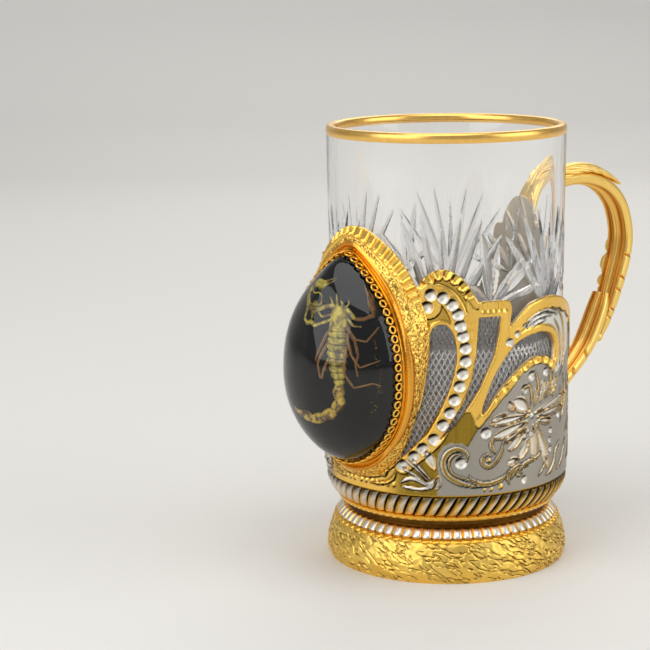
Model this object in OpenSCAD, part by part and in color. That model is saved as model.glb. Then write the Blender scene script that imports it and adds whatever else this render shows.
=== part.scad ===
// Tea glass holder with a round foot, an openwork wall, a large cabochon
// medallion and a cast scroll handle, with its tea glass standing in it.
// Origin: centre of the flat underside. The handle points along +X and the
// medallion along -X.

/* [Tea glass] */
// Outer diameter of the tea glass
glass_d = 68; // [62:0.5:76]
// Height of the tea glass
glass_h = 99.6; // [90:0.2:115]
// Thickness of the glass wall
glass_wall = 2.4; // [1.6:0.1:4]
// Thickness of the glass bottom
glass_base = 7; // [4:0.5:12]
// Height of the fired gold band under the lip
gilt_h = 2.8; // [1:0.1:6]
// Thickness of the fired gold band
gilt_t = 0.12; // [0.05:0.01:0.3]

/* [Wall] */
// Clearance between the glass and the wall around it
glass_gap = 0.4; // [0.2:0.05:1]
// Thickness of the openwork wall
wall_t = 1; // [0.7:0.1:2]
// Height of the raised ornament above the wall
relief_t = 0.6; // [0.3:0.05:1]
// Height of the wall at its tallest leaf, behind the handle
wall_h = 76.4; // [68:0.2:84]
// Width of the raised edge band
band_w = 3; // [2:0.1:4]
// Diameter of one polished dimple
dimple_d = 3; // [2:0.1:3.2]

/* [Foot] */
// Diameter of the foot where it stands
foot_d = 69; // [60:0.5:76]
// Height of the hammered foot
foot_h = 11.3; // [8:0.1:16]
// Thickness of the foot sheet
foot_t = 1.2; // [0.8:0.1:1.6]
// Thickness of the closing plate under the foot
plate_t = 1; // [0.8:0.1:1.4]
// Height of the beaded ring
bead_h = 3.7; // [3:0.1:5]
// Number of lobes on the beaded ring
bead_count = 68; // [48:1:84]
// Diameter of the neck
neck_d = 59.4; // [54:0.2:62]
// Height of the neck groove
neck_h = 2.6; // [2:0.1:4]
// Height of the lip above the neck
lip_h = 1.4; // [1:0.1:2.4]
// Height of the rope moulding
rope_h = 7.1; // [5.5:0.1:9]
// Number of strands around the rope moulding
rope_count = 66; // [48:1:80]

/* [Medallion] */
// Width of the cabochon
stone_w = 42; // [34:0.5:44]
// Height of the cabochon
stone_h = 59; // [50:0.5:62]
// Height of the cabochon's middle above the table
stone_z = 63.9; // [60:0.1:68]
// How far the cabochon's dome stands out of its setting
dome_h = 17.7; // [10:0.1:20]
// Height of the cabochon's straight girdle
girdle_h = 1.4; // [0.8:0.1:2.5]
// Thickness of the backing plate behind the cabochon
backing_t = 1; // [0.6:0.1:1.5]
// Thickness of the bezel band
bezel_t = 0.9; // [0.6:0.1:1.2]
// Outer diameter of one small ring of the gallery
lace_d = 2.5; // [1.8:0.1:2.8]
// Thickness of the gallery wire
lace_wire = 0.55; // [0.4:0.05:0.7]

/* [Handle] */
// How far the handle reaches from the axis of the cup
handle_reach = 81.8; // [76:0.2:88]
// Thickness of the handle arm
arm_t = 4.6; // [3.5:0.1:6]
// Width of the handle arm
arm_w = 8.6; // [7:0.1:11]

/* [Fixing] */
// Diameter of the clamping screw
screw_d = 5; // [4:0.5:6]
// Width across the flats of the nut
nut_w = 8; // [7.5:0.5:10]
// Height of the nut
nut_h = 4; // [3:0.1:5]

/* [Hidden] */
$fn = 64;

// One overrun serves every cut
over = 1;
// Running clearance between pieces that are stacked or nested
fit = 0.05;
// Clearance of the seat that the glass stands on
seat_gap = 0.1;

// Heights of the stack, from the table upwards
bead_z = foot_h;
neck_z = bead_z + bead_h;
lip_z = neck_z + neck_h;
rope_z = lip_z + lip_h;
wall_z = rope_z + rope_h;
floor_t = 1.2;
glass_z = wall_z + floor_t + seat_gap;

// Radii of the wall, from the glass outwards
wall_ri = glass_d / 2 + glass_gap;
wall_ro = wall_ri + wall_t;
relief_r = wall_ro + relief_t;
neck_r = neck_d / 2;
foot_r = foot_d / 2;
column_r = neck_r - 4 * foot_t;

// Medallion planes, as distances from the cup's axis
backing_x = wall_ro + 4 * fit;
stone_x = backing_x + backing_t;
girdle_x = stone_x + girdle_h;
bezel_x = girdle_x + bezel_t;
dome_x = girdle_x + dome_h;
lace_r = (lace_d - lace_wire) / 2;

// Smooth curve through points, with n steps between neighbours
function curve(p, n) = [for (i = [0:len(p) - 2], k = [0:n - 1])
    let(a = p[max(i - 1, 0)], b = p[i], c = p[i + 1], d = p[min(i + 2, len(p) - 1)], t = k / n)
    0.5 * (2 * b + (c - a) * t + (2 * a - 5 * b + 4 * c - d) * t * t
        + (3 * b - a - 3 * c + d) * t * t * t), each [p[len(p) - 1]]];
// Direction of a flat path at point i
function heading(p, i) = let(d = p[min(i + 1, len(p) - 1)] - p[max(i - 1, 0)])
    [d[0], d[1]] / norm([d[0], d[1]]);
// Outline of a ribbon of width w that follows a flat path
function ribbon(p, w) = concat(
    [for (i = [0:len(p) - 1]) let(h = heading(p, i)) p[i] + [-h[1], h[0]] * w / 2],
    [for (i = [len(p) - 1:-1:0]) let(h = heading(p, i)) p[i] - [-h[1], h[0]] * w / 2]);
// Place on the wall, seen along the radius at angle c: degrees and a share of the wall height. Places
// are laid out just outside the relief, so that cuts seen along two radii never meet on its surface.
layout_r = relief_r + relief_t;
function on_wall(p, c) = [for (q = p) [layout_r * sin(q[0] - c), wall_z + wall_h * q[1]]];
// Middle of a ring of points
function middle(ring) = [for (i = [0:2]) [for (p = ring) p[i]] * [for (p = ring) 1 / len(ring)]];
// Closed solid through rings of points: capped at its ends, or joined end to end
module skin(rings, loop = false) {
    n = len(rings[0]);
    m = len(rings);
    last = loop ? m - 1 : m - 2;
    sides = [for (i = [0:last], j = [0:n - 1])
        let(a = i * n + j, b = i * n + (j + 1) % n,
            c = ((i + 1) % m) * n + j, d = ((i + 1) % m) * n + (j + 1) % n)
        each [[a, c, d], [a, d, b]]];
    e = (m - 1) * n;
    caps = loop ? [] : [for (j = [0:n - 1]) let(k = (j + 1) % n)
        each [[m * n, j, k], [m * n + 1, e + k, e + j]]];
    ends = loop ? [] : [middle(rings[0]), middle(rings[m - 1])];
    polyhedron(points = concat([for (r = rings) each r], ends), faces = concat(sides, caps));
}
// Round wire along a path of points, with a radius for each point
module wire(path, radii, sides = 6) {
    skin([for (i = [0:len(path) - 1])
        let(d = path[min(i + 1, len(path) - 1)] - path[max(i - 1, 0)], t = d / norm(d),
            u = cross(t, [1, 0, 0]), v = u / norm(u), w = cross(t, v))
        [for (k = [0:sides - 1]) let(a = k * 360 / sides)
            path[i] + radii[i] * (v * cos(a) - w * sin(a))]]);
}
// Chain of tapered links through points, each with its own radius
module chain(path, radii) {
    for (i = [0:len(path) - 2]) hull() {
        translate(path[i]) sphere(r = radii[i], $fn = 8);
        translate(path[i + 1]) sphere(r = radii[i + 1], $fn = 8);
    }
}
// Prism of a flat outline, pushed outwards along the radius at angle c
module radial(c) {
    rotate([0, 0, c]) rotate([90, 0, 90]) linear_extrude(height = 2 * relief_r) children();
}
// Ring around the cup's axis with a rectangular section
module tube(ri, ro, z0, z1) {
    rotate_extrude($fn = 180) translate([ri, z0]) square([ro - ri, z1 - z0]);
}
// Ring around the cup's axis whose outline follows a list of radius and height
module spun(p) {
    rotate_extrude($fn = 180) polygon(p);
}
// Both sides of the cup
module both() {
    children();
    mirror([0, 1, 0]) children();
}

// Top edge of the wall from the handle to the medallion: degrees, share of the wall height
edge_shares = [[-14, 0.87], [-11, 0.93], [-6, 0.985], [0, 1], [6, 0.985], [11, 0.93], [12.6, 0.885],
    [15, 0.89], [17.4, 0.87], [19, 0.79], [23, 0.69], [30, 0.56], [38, 0.46], [40, 0.45], [43, 0.49],
    [47, 0.56], [53, 0.62], [60.6, 0.655], [71, 0.69], [81, 0.706], [93, 0.693], [98.5, 0.668],
    [103, 0.635], [106.2, 0.615], [105.6, 0.655], [105, 0.68], [106.5, 0.71], [109, 0.716],
    [121, 0.716], [122.6, 0.735], [124.6, 0.765], [129.5, 0.81], [136, 0.836], [142, 0.826],
    [147, 0.79], [151, 0.73], [151.6, 0.745], [155.5, 0.79], [160, 0.845], [166, 0.9], [172, 0.93],
    [180, 0.945], [188, 0.93], [194, 0.9]];
// Windows between the ornament: degrees, share of the wall height
stem_window_shares = [[137.6, 0.637], [140.6, 0.63], [142.1, 0.6], [142.4, 0.5], [142.3, 0.36],
    [144.6, 0.288], [149, 0.222], [155.2, 0.135], [147.4, 0.208], [140.4, 0.292], [134.6, 0.388],
    [131.5, 0.48], [131, 0.54], [132.4, 0.6], [135, 0.632]];
tall_window_shares = [[121, 0.66], [110.3, 0.66], [111.2, 0.59], [113.4, 0.515], [120.3, 0.395],
    [126, 0.325], [131.8, 0.262], [138.8, 0.204], [133, 0.282], [128, 0.345], [124.2, 0.43],
    [122.2, 0.52]];
crescent_shares = [[119.4, 0.32], [115.4, 0.41], [110.6, 0.48], [103.8, 0.545], [96.3, 0.573],
    [87.5, 0.58], [80.5, 0.565], [76, 0.53], [75.8, 0.49], [77.2, 0.46], [84, 0.485], [92.5, 0.488],
    [101.5, 0.45], [110.6, 0.385], [116, 0.325], [118.8, 0.298]];
// Lines that carry the raised bands
arch_line_shares = [[106.4, 0.588], [102.5, 0.615], [98, 0.648], [92.5, 0.672], [81, 0.685],
    [71, 0.67], [61, 0.635], [54, 0.6], [48.5, 0.545], [44.6, 0.48]];
gilt_panel_shares = [[162, 0.9], [104.4, 0.9], [104.4, 0.6], [110.6, 0.47], [117.6, 0.35],
    [118.2, 0.31], [122.4, 0.25], [126.7, 0.19], [133, 0.165], [141, 0.13], [150, 0.09], [162, 0.06]];
field_line_shares = [[122.4, 0.26], [117.6, 0.3], [110, 0.366], [101.5, 0.43], [92.5, 0.466],
    [84, 0.463], [77.6, 0.44]];
leg_line_shares = [[73.4, 0.575], [72.4, 0.52], [71.6, 0.44], [72.6, 0.36], [75, 0.29]];
stem_line_shares = [[143.6, 0.7], [142.4, 0.745], [137, 0.736], [133, 0.711], [130.3, 0.675],
    [129, 0.632], [128.1, 0.593], [127.2, 0.551], [127, 0.503], [128.2, 0.455], [129.5, 0.411],
    [131.8, 0.37], [133.9, 0.314], [137.2, 0.266], [140.9, 0.213], [146, 0.174], [150.4, 0.144],
    [155.4, 0.106]];

// Egg outline of a width and a height about its widest place, with n points; draw pulls its top in
egg_low_share = 0.434;
function egg(w, h, n, draw = 0.5) = [for (i = [0:n - 1])
    let(a = i * 360 / n, s = sin(a), q = s > 0 ? draw : 0.12)
    [w / 2 * cos(a) * (1 - q * pow(s, 4)), s * h * (s > 0 ? 1 - egg_low_share : egg_low_share)]];
stone_widest_z = stone_z - stone_h * (0.5 - egg_low_share);
// Egg placed on the plane at distance x in front of the wall
function egg_at(w, h, x, n) = [for (p = egg(w, h, n)) [-x, p[0], stone_widest_z + p[1]]];
// Egg dropped back onto the wall at radius r
function egg_back(w, h, r, n) = [for (p = egg(w, h, n))
    [-sqrt(r * r - p[0] * p[0]), p[0], stone_widest_z + p[1]]];

module foot_skirt() {
    // Spun and hammered sheet, closed on top, with a step for the closing plate
    flare_r = foot_r + foot_t / 2;
    top_r = foot_r - foot_t;
    color("gold") difference() {
        spun([[0, foot_h - foot_t], [0, foot_h], [top_r, foot_h], [top_r + foot_t / 4, foot_h * 0.9],
            [flare_r - foot_t / 3, foot_h * 0.62], [flare_r, foot_h * 0.38], [flare_r, foot_h * 0.24],
            [foot_r, 0], [foot_r - foot_t, 0], [foot_r - foot_t, plate_t], [foot_r - 2 * foot_t, plate_t],
            [foot_r - 2 * foot_t, plate_t + foot_t], [foot_r - foot_t, plate_t + 2 * foot_t],
            [top_r - foot_t, foot_h - foot_t]]);
        translate([0, 0, foot_h - foot_t - over]) cylinder(d = screw_d + 4 * fit, h = foot_t + 2 * over);
    }
}

module base_plate() {
    color("goldenrod") cylinder(r = foot_r - foot_t - 2 * fit, h = plate_t, $fn = 180);
}

module beaded_ring() {
    // Upright lobes all round, on a ring that widens downwards
    foot_w = neck_r + 0.72 * bead_h;
    lobe_t = bead_h * 0.19;
    per_lobe = 4;
    n = bead_count * per_lobe;
    rows = [[column_r, 0, 0], [foot_w - lobe_t, 0, 0.6], [foot_w - lobe_t, 0.25, 1],
        [(foot_w + neck_r) / 2, 0.62, 1], [neck_r, 0.9, 0.6], [neck_r - lobe_t, 1, 0], [column_r, 1, 0]];
    color("silver") skin([for (k = rows) [for (j = [0:n - 1])
        let(a = -j * 360 / n, r = k[0] + lobe_t * k[2] * abs(sin(180 * j / per_lobe + 22.5)))
        [r * cos(a), r * sin(a), bead_z + bead_h * k[1]]]], loop = true);
}

module neck_collar() {
    groove = neck_h * 0.2;
    color("gold") spun([[column_r, neck_z], [neck_r, neck_z], [neck_r - groove, neck_z + neck_h * 0.3],
        [neck_r - groove, neck_z + neck_h * 0.7], [neck_r + groove, neck_z + neck_h],
        [column_r, neck_z + neck_h]]);
}

module lip_ring() {
    lip_r = neck_r + 1.9 * lip_h;
    color("gold") spun([[column_r, lip_z], [lip_r - lip_h * 0.3, lip_z], [lip_r, lip_z + lip_h * 0.35],
        [lip_r, lip_z + lip_h * 0.75], [lip_r - lip_h * 0.25, rope_z], [column_r, rope_z]]);
}

module rope_ring() {
    // Slanted strands like a laid rope, on a full round that widens upwards
    strand_t = rope_h * 0.13;
    per_strand = 4;
    n = rope_count * per_strand;
    low_r = neck_r + 1.4 * lip_h;
    slant = 5.5;
    // radius, share of the height, strength of the strands, share of the slant
    rows = [[column_r, 0, 0, 0], [low_r, 0, 0.5, 0], [low_r * 0.6 + wall_ro * 0.4, 0.3, 1, 0.3],
        [low_r * 0.27 + wall_ro * 0.73, 0.65, 1, 0.65], [wall_ro - strand_t, 1, 0.5, 1],
        [column_r, 1, 0, 1]];
    color("goldenrod") skin([for (k = rows) [for (j = [0:n - 1])
        let(a = slant * k[3] - j * 360 / n,
            r = k[0] + strand_t * k[2] * abs(sin(180 * j / per_strand + 22.5)))
        [r * cos(a), r * sin(a), rope_z + rope_h * k[1]]]], loop = true);
}

module cup_floor() {
    // Floor of the cup, dished in the middle so that the screw head lies below the glass
    rim_r = wall_ri - 4 * fit;
    dish_r = 2.4 * screw_d;
    dish_z = wall_z - 0.7 * rope_h;
    top_z = wall_z + floor_t;
    color("gold") difference() {
        spun([[0, dish_z], [dish_r, dish_z], [dish_r + floor_t, wall_z], [rim_r, wall_z], [rim_r, top_z],
            [dish_r + floor_t / 2, top_z], [dish_r - floor_t / 2, dish_z + floor_t], [0, dish_z + floor_t]]);
        translate([0, 0, dish_z - over]) cylinder(d = screw_d + 4 * fit, h = floor_t + 2 * over);
    }
}

// The clamping screw runs down through the cup floor and the foot
head_z = wall_z - 0.7 * rope_h + floor_t;
head_h = 0.5 * screw_d;
washer_t = foot_t / 2;
washer_z = foot_h - foot_t - washer_t;
nut_z = washer_z - nut_h;
shank_z = nut_z - 0.2 * screw_d;

module clamp_screw() {
    color("darkgoldenrod") difference() {
        union() {
            translate([0, 0, shank_z]) cylinder(d = screw_d, h = head_z - shank_z + head_h / 2);
            translate([0, 0, head_z]) cylinder(r1 = screw_d, r2 = 0.7 * screw_d, h = head_h);
        }
        translate([-screw_d, -screw_d / 10, head_z + head_h / 2]) cube([2 * screw_d, screw_d / 5, head_h]);
    }
}

module clamp_washer() {
    color("silver") difference() {
        translate([0, 0, washer_z]) cylinder(r = 1.5 * screw_d, h = washer_t);
        translate([0, 0, washer_z - over]) cylinder(d = screw_d + 4 * fit, h = washer_t + 2 * over);
    }
}

module clamp_nut() {
    color("darkgoldenrod") difference() {
        translate([0, 0, nut_z]) cylinder(d = nut_w / cos(30), h = nut_h, $fn = 6);
        translate([0, 0, nut_z - over]) cylinder(d = screw_d + 2 * fit, h = nut_h + 2 * over);
    }
}

// Everything above the top edge, seen along the radius at angle c
module sky(c, first, last) {
    p = on_wall([for (i = [first:last]) edge_shares[i]], c);
    n = len(p);
    top_z = wall_z + wall_h + over;
    radial(c) polygon(concat(p, [[p[n - 1][0], top_z], [p[0][0], top_z]]));
}

// Raised band of the wall, between the wall's own thickness and the top of the relief
module raised(c, outline) {
    intersection() {
        tube(wall_ri + wall_t / 2, relief_r, wall_z, wall_z + wall_h);
        radial(c) polygon(outline);
    }
}

// The wall before it is pierced: a tube with its raised step, bands and gilt panels
arch_c = 77;
field_c = 98;
stem_c = 134;
module wall_blank() {
    tube(wall_ri, wall_ro, wall_z, wall_z + wall_h);
    tube(wall_ri + wall_t / 2, relief_r, wall_z, wall_z + band_w / 2);
    both() {
        difference() {
            raised(stem_c, on_wall(gilt_panel_shares, stem_c));
            radial(180) polygon(frame_print(72));
        }
        raised(arch_c, ribbon(curve(on_wall(arch_line_shares, arch_c), 3), band_w));
        raised(arch_c, ribbon(curve(on_wall(leg_line_shares, arch_c), 3), band_w / 2));
        raised(field_c, ribbon(curve(on_wall(field_line_shares, field_c), 3), 0.8 * band_w));
    }
}

// Everything above the wall's top edge, all the way round
module sky_cut() {
    sky(0, 0, 17);
    mirror([0, 1, 0]) sky(0, 3, 17);
    both() {
        sky(arch_c, 12, 22);
        sky(stem_c, 21, 38);
    }
    sky(180, 36, 43);
    mirror([0, 1, 0]) sky(180, 36, 43);
}

module window_cut() {
    both() {
        radial(143) polygon(on_wall(stem_window_shares, 143));
        radial(122) polygon(on_wall(tall_window_shares, 122));
        radial(field_c) polygon(on_wall(crescent_shares, field_c));
    }
}

// Polished dents along the stem: the ball leaves a dent of the dimple's width, as deep as the relief
module dent_cut() {
    dent_r = (dimple_d * dimple_d / 4 + relief_t * relief_t) / (2 * relief_t);
    both() for (q = stem_line_shares)
        rotate([0, 0, q[0]]) translate([relief_r + dent_r - relief_t, 0, wall_z + wall_h * q[1]])
            sphere(r = dent_r, $fn = 24);
}

module wall_edge() {
    difference() {
        wall_blank();
        sky_cut();
    }
}

module wall_pierced() {
    difference() {
        wall_edge();
        window_cut();
    }
}

module wall_shell() {
    color("gold") difference() {
        wall_pierced();
        dent_cut();
    }
}

// Outer edge of the medallion frame on the wall: its width is an arc, not a chord
frame_w = stone_w + 2 * bezel_t + 2 * band_w;
frame_h = stone_h + 2 * bezel_t + 3.4 * band_w;
function frame_edge(r, n) = [for (p = egg(frame_w, frame_h, n, 0.3)) let(a = p[0] / relief_r * 180 / PI)
    [-r * cos(a), r * sin(a), stone_widest_z + p[1]]];
// The same edge seen from the front, with a little clearance
function frame_print(n) = [for (p = frame_edge(relief_r, n))
    [-p[1] * (1 + 2 * fit / stone_w), stone_widest_z + (p[2] - stone_widest_z) * (1 + 4 * fit / stone_h)]];

// Medallion frame, from the bezel out and back onto the wall, fluted around its upper edge
module medallion_frame() {
    n = 200;
    flutes = 50;
    inner_w = stone_w + 2 * (bezel_t + 4 * fit);
    inner_h = stone_h + 2 * (bezel_t + 4 * fit);
    front = egg_at(inner_w, inner_h, girdle_x, n);
    lip = egg_at(inner_w + band_w / 3, inner_h + band_w / 3, girdle_x, n);
    edge = frame_edge(relief_r + fit, n);
    mid = [for (i = [0:n - 1]) let(f = edge[i][2] > stone_widest_z ? 1 + sin(360 * i * flutes / n) : 1)
        edge[i] * 0.55 + lip[i] * 0.45 - [f * relief_t, 0, 0]];
    back = frame_edge(wall_ro + 2 * fit, n);
    seat = egg_back(inner_w, inner_h, wall_ro + 2 * fit, n);
    color("orange") skin([front, seat, back, edge, mid, lip], loop = true);
}

module backing_plate() {
    color("black") skin([for (x = [stone_x, backing_x]) egg_at(stone_w, stone_h, x, 48)]);
}

module bezel_band() {
    inner = [stone_w + 2 * fit, stone_h + 2 * fit];
    outer = inner + [2 * bezel_t, 2 * bezel_t];
    n = 72;
    color("gold") skin([egg_at(outer[0], outer[1], backing_x, n), egg_at(outer[0], outer[1], bezel_x, n),
        egg_at(inner[0], inner[1], bezel_x, n), egg_at(inner[0], inner[1], backing_x, n)], loop = true);
}

module gallery_rings() {
    // Small wire rings standing side by side on the bezel
    n = 720;
    path = egg(stone_w + bezel_t, stone_h + bezel_t, n);
    steps = [for (i = 0, s = 0; i < n; s = s + norm(path[(i + 1) % n] - path[i]), i = i + 1) s];
    length = steps[n - 1];
    count = floor(length / (lace_d + 2 * fit));
    color("gold") for (k = [0:count - 1]) {
        i = search(1, [for (s = steps) s >= length * k / count ? 1 : 0])[0];
        h = path[(i + 3) % n] - path[(i + n - 3) % n];
        translate([-bezel_x - lace_d / 2 - fit, path[i][0], stone_widest_z + path[i][1]])
            rotate([atan2(h[1], h[0]), 0, 0])
                rotate_extrude($fn = 24) translate([lace_r, 0]) circle(d = lace_wire, $fn = 16);
    }
}

module cabochon() {
    // High dome of clear resin on a straight girdle
    n = 48;
    rise = [for (a = [0:12:84]) [cos(a), sin(a)]];
    top = [0.05, 1];
    color("dimgray", 0.5) skin(concat(
        [for (k = [top, for (i = [len(rise) - 1:-1:0]) rise[i]])
            egg_at(stone_w * k[0], stone_h * k[0], girdle_x + dome_h * k[1], n)],
        [egg_at(stone_w, stone_h, stone_x, n)]));
}

// Place in the resin: shares of the cabochon's half width and height, and depth as a share of the dome
function in_stone(p) = [-girdle_x - p[2] * dome_h, -p[0] * stone_w / 2, stone_z + p[1] * stone_h / 2];
body_shares = [[0, 0.46, 0.15], [0.02, 0.37, 0.16], [0.03, 0.26, 0.17], [0.03, 0.12, 0.17],
    [0.02, -0.02, 0.17], [0.03, -0.14, 0.16], [0.04, -0.22, 0.15]];
body_radii_share = [0.036, 0.055, 0.058, 0.058, 0.053, 0.04, 0.026];
tail_shares = [[0.04, -0.22, 0.15], [0.03, -0.29, 0.16], [0.05, -0.34, 0.16], [0.01, -0.39, 0.17],
    [-0.06, -0.44, 0.18], [-0.16, -0.48, 0.19], [-0.28, -0.51, 0.2], [-0.38, -0.48, 0.21],
    [-0.47, -0.46, 0.22], [-0.51, -0.44, 0.22]];
tail_radii_share = [0.028, 0.04, 0.03, 0.036, 0.037, 0.036, 0.032, 0.028, 0.02, 0.008];
claw_shares = [[[-0.05, 0.44, 0.15], [-0.14, 0.46, 0.16], [-0.31, 0.41, 0.18], [-0.34, 0.54, 0.18],
    [-0.06, 0.73, 0.18]],
    [[0.11, 0.45, 0.15], [0.24, 0.37, 0.15], [0.52, 0.45, 0.1], [0.46, 0.57, 0.1], [0.34, 0.7, 0.1]]];
leg_shares = [[[-0.08, 0.34, 0.15], [-0.31, 0.27, 0.2], [-0.37, 0.31, 0.17], [-0.38, 0.46, 0.11]],
    [[-0.08, 0.27, 0.15], [-0.17, 0.12, 0.2], [-0.25, 0.01, 0.17], [-0.27, -0.04, 0.14]],
    [[-0.08, 0.18, 0.15], [-0.19, 0.01, 0.18], [-0.24, -0.06, 0.15], [-0.23, -0.18, 0.12]],
    [[-0.08, 0.03, 0.14], [-0.11, -0.03, 0.17], [-0.17, -0.11, 0.15], [-0.21, -0.17, 0.12]],
    [[0.11, 0.37, 0.15], [0.18, 0.34, 0.18], [0.24, 0.31, 0.17], [0.32, 0.31, 0.13]],
    [[0.13, 0.31, 0.15], [0.27, 0.2, 0.17], [0.4, 0.19, 0.13], [0.58, 0.34, 0.09]],
    [[0.14, 0.24, 0.15], [0.23, 0.06, 0.19], [0.31, -0.04, 0.14], [0.57, 0.04, 0.07]],
    [[0.14, 0.12, 0.16], [0.19, -0.09, 0.28], [0.23, -0.22, 0.15], [0.56, -0.19, 0.06]]];

module scorpion_body() {
    p = curve([for (q = body_shares) in_stone(q)], 3);
    r = curve([for (s = body_radii_share) s * stone_w], 3);
    color("khaki") wire(p, r, 10);
}

module scorpion_tail() {
    p = curve([for (q = tail_shares) in_stone(q)], 3);
    r = curve([for (s = tail_radii_share) s * stone_w], 3);
    color("khaki") wire(p, r, 8);
}

module scorpion_claws() {
    r = [0.015, 0.019, 0.019, 0.022, 0.008] * stone_w;
    color("khaki") for (q = claw_shares) chain([for (s = q) in_stone(s)], r);
}

module scorpion_legs() {
    r = [0.011, 0.011, 0.008, 0.0055] * stone_w;
    color("khaki") for (q = leg_shares) chain([for (s = q) in_stone(s)], r);
}

// Handle: place in the handle's plane, and the shares of the arm's thickness and width there
handle_run = handle_reach - relief_r;
root_z = wall_z + wall_h * 0.93;
strap_z = wall_z + wall_h * 0.12;
handle_h = root_z - strap_z;
function in_handle(p) = [relief_r + handle_run * p[0], strap_z + handle_h * p[1],
    arm_t * p[2], arm_w * p[3]];
arm_shares = [[0.012, 0.96, 0.62, 1.05], [0.05, 1.05, 0.76, 1], [0.17, 1.125, 0.9, 0.95],
    [0.37, 1.15, 0.95, 0.93], [0.57, 1.137, 0.95, 0.93], [0.76, 1.08, 0.95, 0.95],
    [0.885, 0.985, 0.97, 0.98], [0.945, 0.85, 1, 1], [0.932, 0.735, 1.03, 1.02], [0.88, 0.62, 1.05, 1],
    [0.8, 0.475, 0.92, 0.88], [0.75, 0.375, 0.68, 0.64], [0.725, 0.32, 0.4, 0.4]];
strap_shares = [[0.745, 0.54, 0.5, 0.7], [0.71, 0.465, 0.85, 0.86], [0.64, 0.365, 0.95, 0.9],
    [0.55, 0.272, 0.92, 0.88], [0.41, 0.18, 0.86, 0.84], [0.2, 0.08, 0.8, 0.9], [0.012, 0.02, 0.7, 1.05]];
leaf_shares = [[0.26, 1.183, 0.3, 0.7], [0.42, 1.203, 0.42, 0.95], [0.6, 1.19, 0.42, 1],
    [0.76, 1.145, 0.36, 0.9], [0.89, 1.105, 0.22, 0.5]];
// Section of the cast arm: ribs and two grooves on the inside, a crown on the outside
arm_section_shares = [[-0.5, -0.4], [-0.37, -0.25], [-0.5, -0.1], [-0.5, 0.1], [-0.37, 0.25],
    [-0.5, 0.4], [-0.3, 0.5], [0.15, 0.5], [0.38, 0.36], [0.5, 0.12], [0.5, -0.12], [0.38, -0.36],
    [0.15, -0.5], [-0.3, -0.5]];

// Cast bar along a path in the handle's plane, notched like a leaf along its edges
module cast_bar(shares, steps, notch, notch_steps) {
    p = curve([for (q = shares) in_handle(q)], steps);
    skin([for (i = [0:len(p) - 1])
        let(h = heading(p, i), k = (i % notch_steps) / notch_steps, w = p[i][3] * (1 - notch * (1 - k)))
        [for (s = arm_section_shares)
            [p[i][0] + h[1] * s[0] * p[i][2], s[1] * w, p[i][1] - h[0] * s[0] * p[i][2]]]]);
}

module handle_arm() {
    tip = in_handle(arm_shares[len(arm_shares) - 1]);
    color("gold") {
        cast_bar([for (q = arm_shares) [q[0], q[1], -q[2], q[3]]], 5, 0.16, 5);
        translate([tip[0], 0, tip[1] - arm_t * 0.2]) sphere(r = arm_t * 0.36, $fn = 24);
    }
}

module handle_strap() {
    color("gold") cast_bar([for (q = strap_shares) [q[0], q[1], -q[2], q[3]]], 4, 0, 4);
}

module thumb_leaf() {
    color("gold") cast_bar([for (q = leaf_shares) [q[0], q[1], -q[2], q[3]]], 5, 0.3, 4);
}

module root_leaves() {
    // Leaves on both sides of the handle's root, whose tips curl off the wall
    low_z = wall_z + wall_h * 0.7;
    long = 4 * band_w;
    // how far out, how far up and how wide the leaf is, step by step
    steps = [[0, 0, 0.3], [0.02, 0.3, 0.8], [0.05, 0.6, 0.9], [0.3, 0.85, 0.75], [0.75, 1, 0.25]];
    color("gold") for (side = [-1, 1]) rotate([0, 0, side * 17])
        skin([for (k = steps) [for (a = [0:30:330])
            [relief_r + fit + relief_t / 2 + band_w * k[0] + relief_t / 2 * cos(a),
            band_w * k[2] * sin(a), low_z + long * k[1] - relief_t * k[0] * cos(a)]]]);
}

module glass_tumbler() {
    r = glass_d / 2;
    lip = glass_wall / 2;
    foot_c = glass_wall;
    top_z = glass_z + glass_h;
    color("lightcyan", 0.35) rotate_extrude($fn = 180) difference() {
        union() {
            polygon([[0, glass_z], [r - foot_c, glass_z], [r, glass_z + foot_c], [r, top_z - lip],
                [0, top_z - lip]]);
            translate([r - lip, top_z - lip]) circle(r = lip, $fn = 32);
        }
        polygon([[0, glass_z + glass_base], [r - 2 * glass_wall, glass_z + glass_base],
            [r - glass_wall, glass_z + glass_base + glass_wall], [r - glass_wall, top_z - lip],
            [r - glass_wall, top_z + over], [0, top_z + over]]);
        translate([-r, glass_z - over]) square([r, glass_h + 2 * over]);
    }
}

module gilt_rim() {
    top_z = glass_z + glass_h - glass_wall / 2;
    color("gold") tube(glass_d / 2 + gilt_t / 4, glass_d / 2 + gilt_t, top_z - gilt_h, top_z);
}

foot_skirt();
base_plate();
beaded_ring();
neck_collar();
lip_ring();
rope_ring();
cup_floor();
clamp_screw();
clamp_washer();
clamp_nut();
wall_shell();
medallion_frame();
backing_plate();
bezel_band();
gallery_rings();
cabochon();
scorpion_body();
scorpion_tail();
scorpion_claws();
scorpion_legs();
handle_arm();
handle_strap();
thumb_leaf();
root_leaves();
glass_tumbler();
gilt_rim();
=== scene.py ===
import math

import bmesh
import bpy
import numpy as np
from mathutils import Matrix, Vector


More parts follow.
